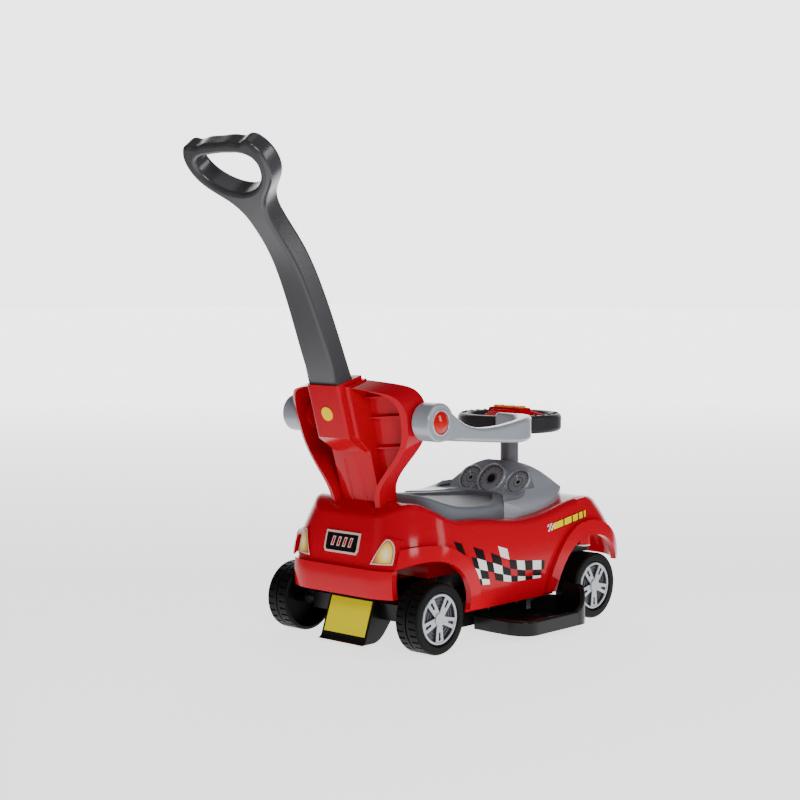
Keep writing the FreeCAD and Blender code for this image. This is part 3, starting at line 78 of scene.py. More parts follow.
def add_node(tree, kind, inputs=(), **settings):
    """Adds a shader node. Inputs are pairs of an input and the socket or value that it takes. Settings name
    further inputs' values or the node's properties."""
    made = tree.nodes.new(kind)
    for key, value in settings.items():
        sockets = [s for s in made.inputs if s.name.lower() == key.replace("_", " ")]
        if sockets:
            sockets[0].default_value = value
        else:
            setattr(made, key, value)
    for name, source in inputs:
        if isinstance(source, bpy.types.NodeSocket):
            tree.links.new(source, made.inputs[name])
        else:
            made.inputs[name].default_value = source
    return made


COAT_ROUGHNESS = 0.06     # clear lacquer or gloss ink over a colour


def surface_finish(name, colour, roughness, metallic=0.0, coat=0.0, sheen_level=0.5):
    """Material of one colour and gloss; sheen_level is how strongly it mirrors, 0.5 for plain plastic."""
    made = bpy.data.materials.new(name)
    made.use_nodes = True
    shader = made.node_tree.nodes["Principled BSDF"]
    shader.inputs["Base Color"].default_value = linear(colour)
    shader.inputs["Roughness"].default_value = roughness
    shader.inputs["Metallic"].default_value = metallic
    shader.inputs["Specular IOR Level"].default_value = sheen_level
    shader.inputs["Coat Weight"].default_value = coat
    shader.inputs["Coat Roughness"].default_value = COAT_ROUGHNESS
    return made


GRAIN_STRENGTH = 0.25
GRAIN_DETAIL = 2.0


def grained(made, size, depth):
    """Puts the fine grain of a moulding tool on a finish, as a bump of this size and depth."""
    tree = made.node_tree
    place = add_node(tree, "ShaderNodeTexCoord")
    noise = add_node(tree, "ShaderNodeTexNoise", [("Vector", place.outputs["Object"])],
                     scale=1.0 / (size * MM), detail=GRAIN_DETAIL)
    bump = add_node(tree, "ShaderNodeBump", [("Height", noise.outputs["Fac"])],
                    strength=GRAIN_STRENGTH, distance=depth * MM)
    tree.links.new(bump.outputs["Normal"], tree.nodes["Principled BSDF"].inputs["Normal"])
    return made


# Polypropylene injection moulded in a polished tool: clear reflections over a deep red
RED = surface_finish("moulded polypropylene, glossy red", "#BA001C", roughness=0.14, sheen_level=0.13)
# The same plastic from a blasted tool: dull, so the red stays dark when seen edge on
PAD = surface_finish("moulded polypropylene, matt red", "#C2001A", roughness=0.6, sheen_level=0.01)
# Polypropylene with metal flake from a smooth tool: bright soft-edged highlights on silver grey
GREY = surface_finish("moulded polypropylene, silver grey", "#9DA2AB", roughness=0.17, metallic=0.15,
                      sheen_level=0.45)
# The same plastic from a grained tool, so that the seat isn't slippery: duller, and its grey darker partly
# from the grain and partly as painted shade, for the shade that the backrest and arms cast on the seat
SEAT_WITH_PAINTED_SHADE = grained(surface_finish("moulded polypropylene, grained grey with painted shade", "#686C73", roughness=0.4,
                              sheen_level=0.06), size=1.4, depth=0.04)
# Polyethylene blown in a smooth tool: dark grey with a broad highlight along the loop and the stem
HANDLE = surface_finish("blow-moulded polyethylene, dark grey", "#3A3A3E", roughness=0.26)
# Black polypropylene from a lightly grained tool: dim highlights, broken up by the grain
BLACK = grained(surface_finish("moulded polypropylene, black", "#0E0D0E", roughness=0.3,
                               sheen_level=0.22), size=1.6, depth=0.03)
# The same plastic a shade paler, from a finer tool: dark grey with a soft edge light
RIM = surface_finish("moulded polypropylene, dark grey", "#2E2E30", roughness=0.38, sheen_level=0.1)
# Tube extruded from the same dark plastic, its grey painted paler as painted light against the shade
# that the arm casts on it: a soft streak of light down its length
COLUMN = surface_finish("extruded polypropylene, dark grey painted paler", "#6E6E73", roughness=0.25)
# Polyethylene wheels blown in a grained tool: black with a dull sheen
TYRE = grained(surface_finish("blow-moulded polyethylene, black", "#0B0A0B", roughness=0.48,
                              sheen_level=0.1), size=1.2, depth=0.05)
# ABS sprayed with silver lacquer: bright, slightly blurred reflections
SILVER = surface_finish("lacquered ABS, silver", "#BDBFC3", roughness=0.3, metallic=0.6)
# Drawn steel left bright: it takes its light and dark from what is round it
STEEL = surface_finish("plain bright steel", "#B9BABC", roughness=0.3, metallic=1.0)
# Nylon moulded without colour: milky white, hardly shiny
NYLON = surface_finish("natural nylon", "#DDDCD6", roughness=0.5)
# ABS moulded in a polished tool: an even strong yellow with small sharp highlights
YELLOW = surface_finish("moulded ABS, yellow", "#FFD600", roughness=0.16, sheen_level=0.1)
# ABS moulded in a polished tool, in orange: a glassy top that catches the light
ORANGE = surface_finish("moulded ABS, orange", "#FF9A2A", roughness=0.22, coat=0.3)
# Paper printed all over in one ink: flat yellow without shine
LABEL = surface_finish("printed paper label, yellow", "#E0D400", roughness=0.5, sheen_level=0.03)
# ABS from a mirror-polished tool: dark red with a clear bright reflection
BUTTON = surface_finish("moulded ABS, glossy red button", "#C00008", roughness=0.10, sheen_level=0.4)
# Glass-fibre board under solder mask: smooth green with a waxy shine
BOARD = surface_finish("solder-masked circuit board", "#145C30", roughness=0.45)
# Steel cells in shrunk film: dark grey with long soft highlights
CELL = surface_finish("shrink-wrapped cell", "#33343A", roughness=0.35)
# Vinyl printed in white ink: the brightest patches on the car, smooth and even
WHITE_PRINT = surface_finish("printed vinyl, white", "#F4F0EE", roughness=0.3)
# Vinyl printed in black ink: deep even black with little shine
BLACK_PRINT = surface_finish("printed vinyl, black", "#110C0B", roughness=0.3, sheen_level=0.12)
# Vinyl printed in yellow ink: clear yellow, even over its length
YELLOW_PRINT = surface_finish("printed vinyl, yellow", "#F8DA00", roughness=0.25, sheen_level=0.1)
# Silver ink printed over red: a pale border with a pink cast
FRAME_PRINT = surface_finish("printed vinyl, silver pink", "#D9B9B4", roughness=0.3)
# Pale grey ink under gloss: a sharp reflection that passes for lamp glass
LENS = surface_finish("printed vinyl, clear lamp", "#D6D8DA", roughness=0.2, coat=0.4)
# Grey ink under gloss: a mid grey ground for the dials' black scales
DIAL = surface_finish("printed vinyl, dial grey", "#8C9096", roughness=0.25, coat=0.3)

# The lamps' backings are red like the body, so that the arched print alone shows
FINISHES = {
    "red_plastic": RED, "grey_plastic": GREY, "handle_plastic": HANDLE, "black_plastic": BLACK,
    "tyre_plastic": TYRE, "silver_plastic": SILVER, "steel": STEEL, "yellow_plastic": YELLOW,
    "orange_plastic": ORANGE, "label": LABEL, "amber_print": RED, "plate_print": FRAME_PRINT,
    "clear_print": LENS, "dial_print": DIAL, "nylon": NYLON, "board": BOARD, "cell": CELL,
}
# Nodes that differ from the rest of their slot
OWN_FINISHES = {
    "arm_button_left": BUTTON, "arm_button_right": BUTTON, "seat_lid": SEAT_WITH_PAINTED_SHADE, "seat_surround": SEAT_WITH_PAINTED_SHADE,
    "steering_pad": PAD, "steering_wheel": RIM, "column_tube": COLUMN,
}
for part in frame["record"]["subparts"]:
    mesh = nodes[part["node"]].data
    mesh.materials.clear()
    mesh.materials.append(OWN_FINISHES.get(part["node"], FINISHES[part["material_slot"]]))

# Hubcaps: silver spokes and ring down to the first depth below the outer face, dark floor from the second
HUBCAP_BRIGHT, HUBCAP_DARK = 2.6, 4.4
HUBCAP_SILVER = "#A9ACB2"
HUBCAP_FLOOR = "#3E4044"


def hubcap_darker_with_depth(node, side):
    """Silver at the outer face, turning dark grey with depth below it: bright spokes and ring over a dark
    floor.
    """
    low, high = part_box(node)
    face = high[1] if side > 0.0 else low[1]
    made = surface_finish("ABS, silver turning dark grey with depth", HUBCAP_SILVER, roughness=0.28, metallic=0.5)
    tree = made.node_tree
    place = add_node(tree, "ShaderNodeTexCoord")
    axes = add_node(tree, "ShaderNodeSeparateXYZ", [("Vector", place.outputs["Object"])])
    depth = add_node(tree, "ShaderNodeMapRange", [("Value", axes.outputs["Y"])],
                     from_min=face - side * HUBCAP_BRIGHT * MM, from_max=face - side * HUBCAP_DARK * MM)
    ramp = add_node(tree, "ShaderNodeValToRGB", [("Fac", depth.outputs["Result"])])
    ramp.color_ramp.elements[0].color = linear(HUBCAP_SILVER)
    ramp.color_ramp.elements[1].color = linear(HUBCAP_FLOOR)
    tree.links.new(ramp.outputs["Color"], tree.nodes["Principled BSDF"].inputs["Base Color"])
    return made


for end in ("front", "rear"):
    for side, side_name in SIDES:
        hubcap = "hubcap_" + end + "_" + side_name
        nodes[hubcap].data.materials[0] = hubcap_darker_with_depth(hubcap, side)


def add_piece(name, points, faces, material, body):
    """Mesh piece that rides on a body."""
    data = bpy.data.meshes.new(name)
    data.from_pydata(points, [], faces)
    data.update()
    made = bpy.data.objects.new(name, data)
    bpy.context.collection.objects.link(made)
    data.materials.append(material)
    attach(made, body)
    return made


skins = {}


def skin(node):
    """Surface of a CAD node that rays can be cast at, made once."""
    if node not in skins:
        data = nodes[node].data
        corners = [v.co for v in data.vertices]
        skins[node] = BVHTree.FromPolygons(corners, [p.vertices for p in data.polygons])
    return skins[node]


STICKER_CELLS = 4     # along each side of a patch, so that it follows a curved surface


def patch_place(patch, s, t):
    """Place at the shares s and t of the way over a patch of four corners."""
    low = [patch[0][k] * (1 - s) + patch[1][k] * s for k in (0, 1)]
    high = [patch[3][k] * (1 - s) + patch[2][k] * s for k in (0, 1)]
    return [low[k] * (1 - t) + high[k] * t for k in (0, 1)]


def sticker(name, patches, node, start, across, look, material, lift):
    """Print on a node's surface: patches of four corners, in metres across and up from start, pressed on to
    the surface along look and lifted off it a little."""
    points = []
    faces = []
    surface = skin(node)
    cells = [(i, j) for i in range(STICKER_CELLS) for j in range(STICKER_CELLS)]
    for patch in patches:
        for i, j in cells:
            hits = []
            for s, t in ((i, j), (i + 1, j), (i + 1, j + 1), (i, j + 1)):
                a, b = patch_place(patch, s / STICKER_CELLS, t / STICKER_CELLS)
                hits.append(surface.ray_cast(start + across * a + UPWARD * b, look)[0])
            if all(hit is not None for hit in hits):
                faces.append(list(range(len(points), len(points) + len(hits))))
                points.extend(hit - look * (lift * MM) for hit in hits)
    add_piece(name, points, faces, material, "car_body")


# Waving checker print on both sides of the body, places from the middle of the wheelbase
COLUMN_X = [-150, -132, -118, -104, -81, -62, -37, -14, 6, 28, 50, 74, 83]
ROW_X = [-150, -104, -62, -14, 28, 83]
ROW_Z = [
    [199, 186, 166, 151, 144, 138], [179, 165, 150, 133, 127, 121], [161, 147, 134, 118, 110, 105],
    [144, 129, 118, 105, 99, 94], [128, 112, 105, 94, 92, 90], [115, 100, 97, 88, 86, 84],
]
ROWS = ["......w.....", "b..b.b.bwbwb", "..bwbwb.b.b.", "..wb.bwbwbw.", "..bw........"]
LEAN_ROW = 2                             # COLUMN_X is measured along this row line
REAR_LEAN, FRONT_LEAN = -0.45, -0.10     # of the column lines, X over Z
CHECKS_LIFT = 0.3


def along_row(row, x):
    """Height of a row line of the print at x."""
    line = ROW_Z[row]
    for k in range(len(ROW_X) - 1):
        if x <= ROW_X[k + 1] or k == len(ROW_X) - 2:
            share = (x - ROW_X[k]) / (ROW_X[k + 1] - ROW_X[k])
            return line[k] + share * (line[k + 1] - line[k])


def print_corner(column, row):
    """Corner of the print, in metres: a leaning column line crossing a row line."""
    x = COLUMN_X[column]
    share = (x - COLUMN_X[0]) / (COLUMN_X[-1] - COLUMN_X[0])
    lean = REAR_LEAN + share * (FRONT_LEAN - REAR_LEAN)
    moved = x + lean * (along_row(row, x) - along_row(LEAN_ROW, x))
    return (moved * MM, along_row(row, moved) * MM)


def print_squares(mark):
    """Patches of the print that have this mark in ROWS."""
    found = []
    for row, line in enumerate(ROWS):
        for column, char in enumerate(line):
            if char == mark:
                found.append([print_corner(column, row), print_corner(column + 1, row),
                              print_corner(column + 1, row + 1), print_corner(column, row + 1)])
    return found


# Yellow speed flash: slanted bars with a dark edge, behind them small white checks
FLASH_START = (112.0, 172.0)     # its low rear corner
FLASH_TALL = 11.0
FLASH_SLANT = 3.0                # how far a bar's top stands ahead of its foot
FLASH_RISE = 0.135               # Z over X
FLASH_BARS = [(0.0, 30.0), (34.0, 56.0), (60.0, 76.0), (80.0, 91.0), (95.0, 101.0)]
FLASH_EDGE = 1.2
EDGE_LIFT, FLASH_LIFT = 0.25, 0.4
SMALL_CHECK = 4.2
SMALL_START = -16.0
SMALL_ROWS, SMALL_IN_ROW = 3, 2


def flash_bar(start, end, tall, grow=0.0):
    """Slanted bar of the speed flash as one patch, grown on all sides for its edge."""
    x, z = FLASH_START
    corners = [(start - grow, -grow), (end + grow, -grow),
               (end + FLASH_SLANT + grow, tall + grow), (start + FLASH_SLANT - grow, tall + grow)]
    return [((x + a) * MM, (z + FLASH_RISE * a + b) * MM) for a, b in corners]


def flash_bars(grow=0.0):
    """All bars of the speed flash."""
    return [flash_bar(start, end, FLASH_TALL, grow) for start, end in FLASH_BARS]


def small_checks():
    """Checks behind the speed flash, each row set off by one check from the row below."""
    found = []
    for row in range(SMALL_ROWS):
        for k in range(SMALL_IN_ROW):
            start = SMALL_START + SMALL_CHECK * (2 * k + row % 2)
            patch = flash_bar(start, start + SMALL_CHECK, SMALL_CHECK)
            found.append([(a, b + row * SMALL_CHECK * MM) for a, b in patch])
    return found


# Stickers are pressed on from well outside the body: metres from the middle of the wheelbase
BESIDE, BEHIND = 0.4, 0.5

for side, side_name in SIDES:
    start = wheelbase_middle + LEFTWARD * (side * BESIDE)
    for name, patches, material, lift in (
            ("checks_black_", print_squares("b"), BLACK_PRINT, CHECKS_LIFT),
            ("checks_white_", print_squares("w"), WHITE_PRINT, CHECKS_LIFT),
            ("flash_edge_", flash_bars(FLASH_EDGE), BLACK_PRINT, EDGE_LIFT),
            ("flash_", flash_bars(), YELLOW_PRINT, FLASH_LIFT),
            ("flash_checks_", small_checks(), WHITE_PRINT, FLASH_LIFT)):
        sticker(name + side_name, patches, "body_shell", start, AHEAD, LEFTWARD * -side, material,
                lift)

# Printed lamps and plate on the rear, outlines as (across, up) from the middle line
LAMP = [(71.5, 147.0), (112.0, 148.0), (113.0, 158.0), (112.5, 170.0), (110.0, 179.0), (105.0, 186.0),
        (99.0, 189.5), (94.0, 189.0), (90.0, 184.0), (81.0, 166.0)]
LAMP_EDGE, LAMP_GLOW = 2.4, 3.2     # insets of the dark edge and of the glow from the pale frame
FRAME_LIFT, DARK_LIFT, GLOW_LIFT = 0.15, 0.25, 0.35
GLOW_MIDDLE = (98.0, 165.0)
GLOW_REACH = (60.0, 26.0, 34.0)     # ahead, across and up
GLOW_STOPS = ((0.0, "#8A6A55"), (0.22, "#B57A3E"), (0.42, "#E0A040"), (0.62, "#FFD65C"), (0.85, "#FFF6C0"))
PLATE = [(-35.0, 159.0), (35.0, 159.0), (39.0, 165.0), (39.0, 193.0), (-39.0, 193.0), (-39.0, 165.0)]
PLATE_BORDER = 2.6
PLATE_BAR = [(0.0, 169.0), (7.0, 169.0), (10.5, 185.0), (3.5, 185.0)]
PLATE_BAR_FILL = [(2.2, 171.0), (5.8, 171.0), (8.3, 183.0), (4.7, 183.0)]
PLATE_BARS, BAR_FIRST, BAR_STEP = 4, -25.0, 13.5
FIELD_LIFT, BAR_LIFT, FILL_LIFT = 0.2, 0.3, 0.4
MITRE_LEAST = 0.3                   # a sharper corner than this is cut short when an outline shrinks


def shrink(outline, inset):
    """Outline moved inwards by inset on every side."""
    count = len(outline)
    area = sum(outline[k][0] * outline[(k + 1) % count][1] - outline[(k + 1) % count][0] * outline[k][1]
               for k in range(count))
    turn = 1.0 if area > 0.0 else -1.0
    out = []
    for k in range(count):
        before, here, after = (Vector(outline[(k + d) % count]) for d in (-1, 0, 1))
        first = (here - before).normalized()
        second = (after - here).normalized()
        first_inward = Vector((-first.y, first.x)) * turn
        second_inward = Vector((-second.y, second.x)) * turn
        inward = (first_inward + second_inward).normalized()
        out.append(tuple(here + inward * (inset / max(inward.dot(first_inward), MITRE_LEAST))))
    return out


def in_metres(outline):
    """Outline in mm as one in metres."""
    return [(a * MM, b * MM) for a, b in outline]


def fan(outline):
    """Patches that fill a convex outline, from its middle."""
    count = len(outline)
    centre = (sum(a for a, b in outline) / count, sum(b for a, b in outline) / count)
    out = []
    for k, corner in enumerate(outline):
        after = outline[(k + 1) % count]
        halfway = (0.5 * (corner[0] + after[0]), 0.5 * (corner[1] + after[1]))
        out.append(in_metres([centre, corner, halfway, after]))
    return out


def plate_bars(outline):
    """One bar's outline repeated along the plate."""
    return [in_metres([(BAR_FIRST + BAR_STEP * k + a, b) for a, b in outline]) for k in range(PLATE_BARS)]


def lamp_print(centre):
    """Vinyl printed as a lit lamp: bright in the middle, through amber to brown at the edge, under gloss."""
    made = surface_finish("printed vinyl, lamp glow", "#E8902E", roughness=0.2, coat=0.4)
    tree = made.node_tree
    place = add_node(tree, "ShaderNodeTexCoord")
    reach = add_node(tree, "ShaderNodeMapping", [("Vector", place.outputs["Object"])], vector_type="TEXTURE",
                     location=centre, scale=[size * MM for size in GLOW_REACH])
    ball = add_node(tree, "ShaderNodeTexGradient", [("Vector", reach.outputs["Vector"])],
                    gradient_type="SPHERICAL")
    ramp = add_node(tree, "ShaderNodeValToRGB", [("Fac", ball.outputs["Fac"])])
    elements = ramp.color_ramp.elements
    for element, (position, colour) in zip(elements, (GLOW_STOPS[0], GLOW_STOPS[-1])):
        element.position = position
        element.color = linear(colour)
    for position, colour in GLOW_STOPS[1:-1]:
        elements.new(position).color = linear(colour)
    tree.links.new(ramp.outputs["Color"], tree.nodes["Principled BSDF"].inputs["Base Color"])
    return made


rear_start = wheelbase_middle - AHEAD * BEHIND
for side, side_name in SIDES:
    node = "tail_light_" + side_name
    low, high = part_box(node)
    glow = lamp_print(((low[0] + high[0]) * 0.5, side * GLOW_MIDDLE[0] * MM, GLOW_MIDDLE[1] * MM))
    for name, inset, material, lift in (
            ("lamp_frame_", 0.0, FRAME_PRINT, FRAME_LIFT),
            ("lamp_edge_", LAMP_EDGE, BLACK_PRINT, DARK_LIFT),
            ("lamp_glow_", LAMP_GLOW, glow, GLOW_LIFT)):
        sticker(name + side_name, fan(shrink(LAMP, inset)), node, rear_start, LEFTWARD * side, AHEAD,
                material, lift)
for name, patches, material, lift in (
        ("plate_field", fan(shrink(PLATE, PLATE_BORDER)), BLACK_PRINT, FIELD_LIFT),
        ("plate_bars", plate_bars(PLATE_BAR), FRAME_PRINT, BAR_LIFT),
        ("plate_bar_fill", plate_bars(PLATE_BAR_FILL), RED, FILL_LIFT)):
    sticker(name, patches, "number_plate", rear_start, -LEFTWARD, AHEAD, material, lift)

RING_AROUND, RING_ACROSS = 48, 10     # faces along a trim ring and round its section


def trim_ring(name, centre, axis, radius, thick, material, body):
    """Ring of round section, whose own radius is thick, in metres."""
    side = axis.orthogonal().normalized()
    other = axis.cross(side)
    points = []
    faces = []
    for i in range(RING_AROUND):
        a = 2.0 * math.pi * i / RING_AROUND
        out = side * math.cos(a) + other * math.sin(a)
        here = i * RING_ACROSS
        ahead = (i + 1) % RING_AROUND * RING_ACROSS
        for j in range(RING_ACROSS):
            b = 2.0 * math.pi * j / RING_ACROSS
            after = (j + 1) % RING_ACROSS
            points.append(centre + out * (radius + thick * math.cos(b)) + axis * (thick * math.sin(b)))
            faces.append([here + j, ahead + j, ahead + after, here + after])
    made = add_piece(name, points, faces, material, body)
    made.data.shade_smooth()


# Pale trim ring round each arm button, on the outer face of the arm
ARM_RING_GAP = 2.0       # from the button's edge to the middle of the ring's section
ARM_RING_THICK = 1.5     # radius of that section

for side, side_name in SIDES:
    low, high = (Vector(c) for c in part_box("arm_button_" + side_name))
    arm_low, arm_high = (Vector(c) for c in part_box("arm_" + side_name))
    middle = 0.5 * (low + high)
    middle.y = arm_high.y if side > 0.0 else arm_low.y
    trim_ring("arm_ring_" + side_name, middle, LEFTWARD * side, 0.5 * (high.x - low.x) + ARM_RING_GAP * MM,
              ARM_RING_THICK * MM, SILVER, "arm_" + side_name)

# Grip ribs on the steering wheel's rim, at both hands
RIBS, RIB_STEP = 8, 12.0         # a side, and degrees from one to the next
RIB_ROUND = 2.0                  # radius
RIB_IN, RIB_OUT = 14.0, 8.0      # from the rim's outside to the rib's ends
RIB_SINK = 0.5                   # from the rim's top down to the rib's middle
RIB_SIDES = 12
RIB_DOME, RIB_TIP = 0.7, 0.05    # radii of the domed end's rings, as shares of RIB_ROUND


def grip_rib(name, inner, outer):
    """Round bar with domed ends, laid from inner to outer."""
    radius = RIB_ROUND * MM
    along = (outer - inner).normalized()
    side = UPWARD.cross(along)
    dome = ((RIB_TIP * radius, radius), (RIB_DOME * radius, RIB_DOME * radius), (radius, 0.0))
    rings = [(inner - along * past, wide) for wide, past in dome]
    rings += [(outer + along * past, wide) for wide, past in reversed(dome)]
    points = []
    faces = []
    for middle, wide in rings:
        for k in range(RIB_SIDES):
            a = 2.0 * math.pi * k / RIB_SIDES
            points.append(middle + (side * math.cos(a) + UPWARD * math.sin(a)) * wide)
    for i in range(len(rings) - 1):
        here = i * RIB_SIDES
        ahead = here + RIB_SIDES
        for k in range(RIB_SIDES):
            after = (k + 1) % RIB_SIDES
            faces.append([here + k, here + after, ahead + after, ahead + k])
    made = add_piece(name, points, faces, RIM, "steering")
    made.data.shade_smooth()


rim_low, rim_high = (Vector(c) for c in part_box("steering_wheel"))
rim_radius = 0.5 * (rim_high.y - rim_low.y)
rib_level = 0.5 * (rim_low + rim_high)
rib_level.z = rim_high.z - RIB_SINK * MM
for side, side_name in SIDES:
    for k in range(RIBS):
        turn = math.radians(RIB_STEP * (k - 0.5 * (RIBS - 1)))
        out = Vector((math.sin(turn), side * math.cos(turn), 0.0))
        grip_rib("grip_rib_%s_%d" % (side_name, k + 1), rib_level + out * (rim_radius - RIB_IN * MM),
                 rib_level + out * (rim_radius - RIB_OUT * MM))

# Dials: flat prints on the dial discs, and a bright rim round each. A row gives the name, the place from the
# middle of the wheelbase, the radius, the dark middle as a share of it, the needle's degrees from the top
# and its colour, and the radius of the rim's section.
DIALS = (
    ("middle", (131.0, 0.0, 250.0), 27.0, 0.34, 40.0, BUTTON, 2.2),
    ("left", (139.0, 57.0, 247.0), 23.0, 0.16, -35.0, WHITE_PRINT, 1.5),
    ("right", (139.0, -57.0, 247.0), 23.0, 0.16, -35.0, WHITE_PRINT, 1.5),
)
DIAL_TILT = math.radians(34.0)
DIAL_FACE = 1.5                     # from a dial's seat to its face
DIAL_RIM_TOP = 3.6                  # from a dial's seat to the middle of its rim
DIAL_RIM_GAP = 1.8                  # from a dial's edge to the middle of its rim
SCALE_LIFT, NEEDLE_LIFT = 0.15, 0.3
SCALE_IN, SCALE_OUT = 2.2, 1.0      # from a dial's edge to the edges of its scale ring
TICKS, LONG_EVERY = 13, 3
TICK_FIRST, TICK_STEP, TICK_HALF = -123.0, 20.5, 1.6     # degrees
TICK_TOP, TICK_SHORT, TICK_LONG = 3.2, 6.5, 8.5          # from a dial's edge to a tick's ends
INNER_RING = (0.40, 0.44)           # shares of a dial's radius
NEEDLE_START, NEEDLE_GAP = 1.0, 6.0     # from a dial's middle, and from its edge
NEEDLE_HALF = 2.5                   # degrees
ARC_STEPS = 60

dial_out = Vector((-math.cos(DIAL_TILT), 0.0, math.sin(DIAL_TILT)))
dial_up = Vector((math.sin(DIAL_TILT), 0.0, math.cos(DIAL_TILT)))


def arc_patch(inner, outer, start, end):
    """Four corners of a ring sector, angles in degrees clockwise from the top."""
    a = math.radians(start)
    b = math.radians(end)
    return [(r * math.sin(t), r * math.cos(t)) for r, t in ((inner, a), (outer, a), (outer, b), (inner, b))]


def ring_patches(inner, outer):
    """Full ring of sectors."""
    step = 360.0 / ARC_STEPS
    return [arc_patch(inner, outer, step * k, step * (k + 1)) for k in range(ARC_STEPS)]


def dial_marks(radius):
    """Scale ring, ticks and inner ring of a dial."""
    ticks = []
    for k in range(TICKS):
        angle = TICK_FIRST + TICK_STEP * k
        foot = TICK_SHORT if k % LONG_EVERY else TICK_LONG
        ticks.append(arc_patch(radius - foot, radius - TICK_TOP, angle - TICK_HALF, angle + TICK_HALF))
    inner = ring_patches(*(share * radius for share in INNER_RING))
    return ring_patches(radius - SCALE_IN, radius - SCALE_OUT) + ticks + inner


def dial_print(name, middle, patches, material, lift):
    """Flat print on a dial's face, patches to the right and up from its middle."""
    points = []
    faces = []
    base = middle + dial_out * ((DIAL_FACE + lift) * MM)
    for patch in patches:
        faces.append(list(range(len(points), len(points) + len(patch))))
        points.extend(base - LEFTWARD * (a * MM) + dial_up * (b * MM) for a, b in patch)
    add_piece(name, points, faces, material, "car_body")


for name, place, radius, dark_share, angle, needle_colour, rim_thick in DIALS:
    middle = wheelbase_middle + Vector(place) * MM
    dial_print("dial_scale_" + name, middle, dial_marks(radius), BLACK_PRINT, SCALE_LIFT)
    dark = ring_patches(0.0, dark_share * radius)
    dial_print("dial_middle_" + name, middle, dark, BLACK_PRINT, SCALE_LIFT)
    needle = arc_patch(NEEDLE_START, radius - NEEDLE_GAP, angle - NEEDLE_HALF, angle + NEEDLE_HALF)
    dial_print("dial_needle_" + name, middle, [needle], needle_colour, NEEDLE_LIFT)
    trim_ring("dial_rim_" + name, middle + dial_out * (DIAL_RIM_TOP * MM), dial_out,
              (radius + DIAL_RIM_GAP) * MM, rim_thick * MM, SILVER, "car_body")

# Plain pale floor: white paper, lit from below in the part that the photograph shows. Distances are in
# metres, along the photograph's view from the frame's origin.
FLOOR_SIZE = 60.0
PAPER_GLOW = 1.7                              # strength of the light from the paper
GLOW_FULL, GLOW_NONE = 0.24, 0.40             # sideways distance over distance from the camera
NEAR_NONE, NEAR_FULL = -2.0, -1.1             # the glow starts between these
FAR_START, FAR_END = 0.6, 6.0                 # the paper brightens to the backdrop between these
BACKDROP, ROOM = 3.4, 0.12                    # bright backdrop beyond the car, dim room everywhere else
BACKDROP_NONE, BACKDROP_FULL = 0.70, 0.92     # cosine of the angle from the view

yaw = math.radians(CAMERA_YAW)
view_ahead = Vector((math.cos(yaw), math.sin(yaw), 0.0))
view_right = Vector((view_ahead.y, -view_ahead.x, 0.0))
camera_place = wheelbase_middle + CAMERA_FROM_MIDDLE


def floor_paper():
    """Matt white paper that lights itself: the car stands on an even pale ground without an edge."""
    made = surface_finish("matt white paper", "#E4E4E4", roughness=0.9, sheen_level=0.1)
    tree = made.node_tree
    place = add_node(tree, "ShaderNodeTexCoord")
    along = add_node(tree, "ShaderNodeVectorMath", [(0, place.outputs["Object"]), (1, view_ahead)],
                     operation="DOT_PRODUCT")
    aside = add_node(tree, "ShaderNodeVectorMath", [(0, place.outputs["Object"]), (1, view_right)],
                     operation="DOT_PRODUCT")
    wide = add_node(tree, "ShaderNodeMath", [(0, aside.outputs["Value"])], operation="ABSOLUTE")
    far = add_node(tree, "ShaderNodeMath", [(0, along.outputs["Value"]), (1, -camera_place.dot(view_ahead))],
                   operation="ADD")
    slope = add_node(tree, "ShaderNodeMath", [(0, wide.outputs["Value"]), (1, far.outputs["Value"])],
                     operation="DIVIDE")
    inside = add_node(tree, "ShaderNodeMapRange", [("Value", slope.outputs["Value"])],
                      from_min=GLOW_FULL, from_max=GLOW_NONE, to_min=PAPER_GLOW, to_max=0.0)
    near = add_node(tree, "ShaderNodeMapRange", [("Value", along.outputs["Value"])],
                    from_min=NEAR_NONE, from_max=NEAR_FULL, to_min=0.0, to_max=1.0)
    lit = add_node(tree, "ShaderNodeMath", [(0, inside.outputs["Result"]), (1, near.outputs["Result"])],
                   operation="MULTIPLY")
    rise = add_node(tree, "ShaderNodeMapRange", [("Value", along.outputs["Value"])],
                    from_min=FAR_START, from_max=FAR_END, to_min=1.0, to_max=BACKDROP / PAPER_GLOW)
    glow = add_node(tree, "ShaderNodeMath", [(0, lit.outputs["Value"]), (1, rise.outputs["Result"])],
                    operation="MULTIPLY")
    shader = tree.nodes["Principled BSDF"]
    shader.inputs["Emission Color"].default_value = linear("#FFFFFF")
    tree.links.new(glow.outputs["Value"], shader.inputs["Emission Strength"])
    return made


bpy.ops.mesh.primitive_plane_add(size=FLOOR_SIZE, location=(0, 0, 0))
floor = bpy.context.object
floor.name = "studio_floor"
floor.data.materials.append(floor_paper())

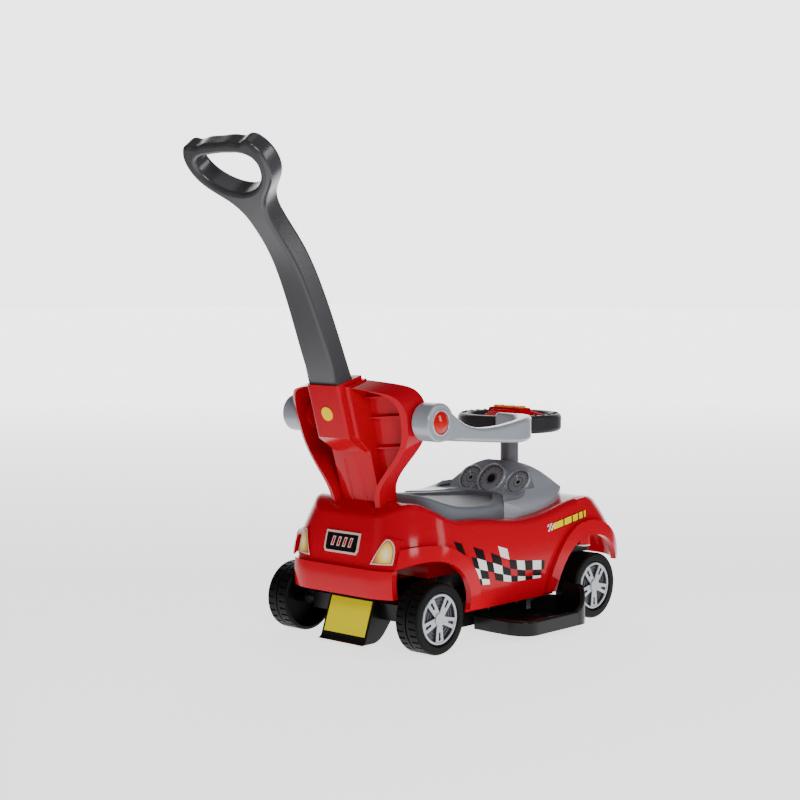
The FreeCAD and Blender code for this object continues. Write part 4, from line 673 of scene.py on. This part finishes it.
# Studio round the paper
world = bpy.context.scene.world or bpy.data.worlds.new("studio")
bpy.context.scene.world = world
world.use_nodes = True
tree = world.node_tree
place = add_node(tree, "ShaderNodeTexCoord")
toward = add_node(tree, "ShaderNodeVectorMath", [(0, place.outputs["Generated"]), (1, view_ahead)],
                  operation="DOT_PRODUCT")
bright = add_node(tree, "ShaderNodeMapRange", [("Value", toward.outputs["Value"])],
                  from_min=BACKDROP_NONE, from_max=BACKDROP_FULL, to_min=ROOM, to_max=BACKDROP)
background = tree.nodes["Background"]
background.inputs["Color"].default_value = linear("#FFFFFF")
tree.links.new(bright.outputs["Result"], background.inputs["Strength"])

# Softboxes: name, place and target in metres, width and height in metres, watts
SOFTBOXES = (
    ("softbox_by_camera", (-1.7, -2.3, 1.5), (0, 0, 0.3), (0.75, 0.75), 36),
    ("softbox_rear_left", (-2.6, 1.2, 1.4), (0, 0, 0.4), (0.7, 1.4), 1.5),
    ("softbox_right", (1.2, -2.6, 1.2), (0, 0, 0.3), (0.7, 1.2), 22),
    ("softbox_top", (0.0, 0.0, 2.6), (0, 0, 0.3), (1.6, 1.6), 6),
)
for name, place, target, size, power in SOFTBOXES:
    light = bpy.data.lights.new(name, "AREA")
    light.shape = "RECTANGLE"
    light.size, light.size_y = size
    light.energy = power
    softbox = bpy.data.objects.new(name, light)
    bpy.context.collection.objects.link(softbox)
    softbox.location = place
    softbox.rotation_euler = (Vector(target) - Vector(place)).to_track_quat("-Z", "Y").to_euler()

# A camera without any turn looks straight down, with the top of its picture to the left of the car
QUARTER_TURN = 90.0

lens = bpy.data.cameras.new("photo_camera")
lens.sensor_width = SENSOR_MM
lens.lens = SENSOR_MM * FOCAL_PIXELS / PHOTO_PIXELS
lens.clip_end = CLIP_END
camera = bpy.data.objects.new("photo_camera", lens)
bpy.context.collection.objects.link(camera)
camera.location = camera_place
camera.rotation_euler = (math.radians(QUARTER_TURN + CAMERA_PITCH), 0.0,
                         math.radians(CAMERA_YAW - QUARTER_TURN))
bpy.context.scene.camera = camera
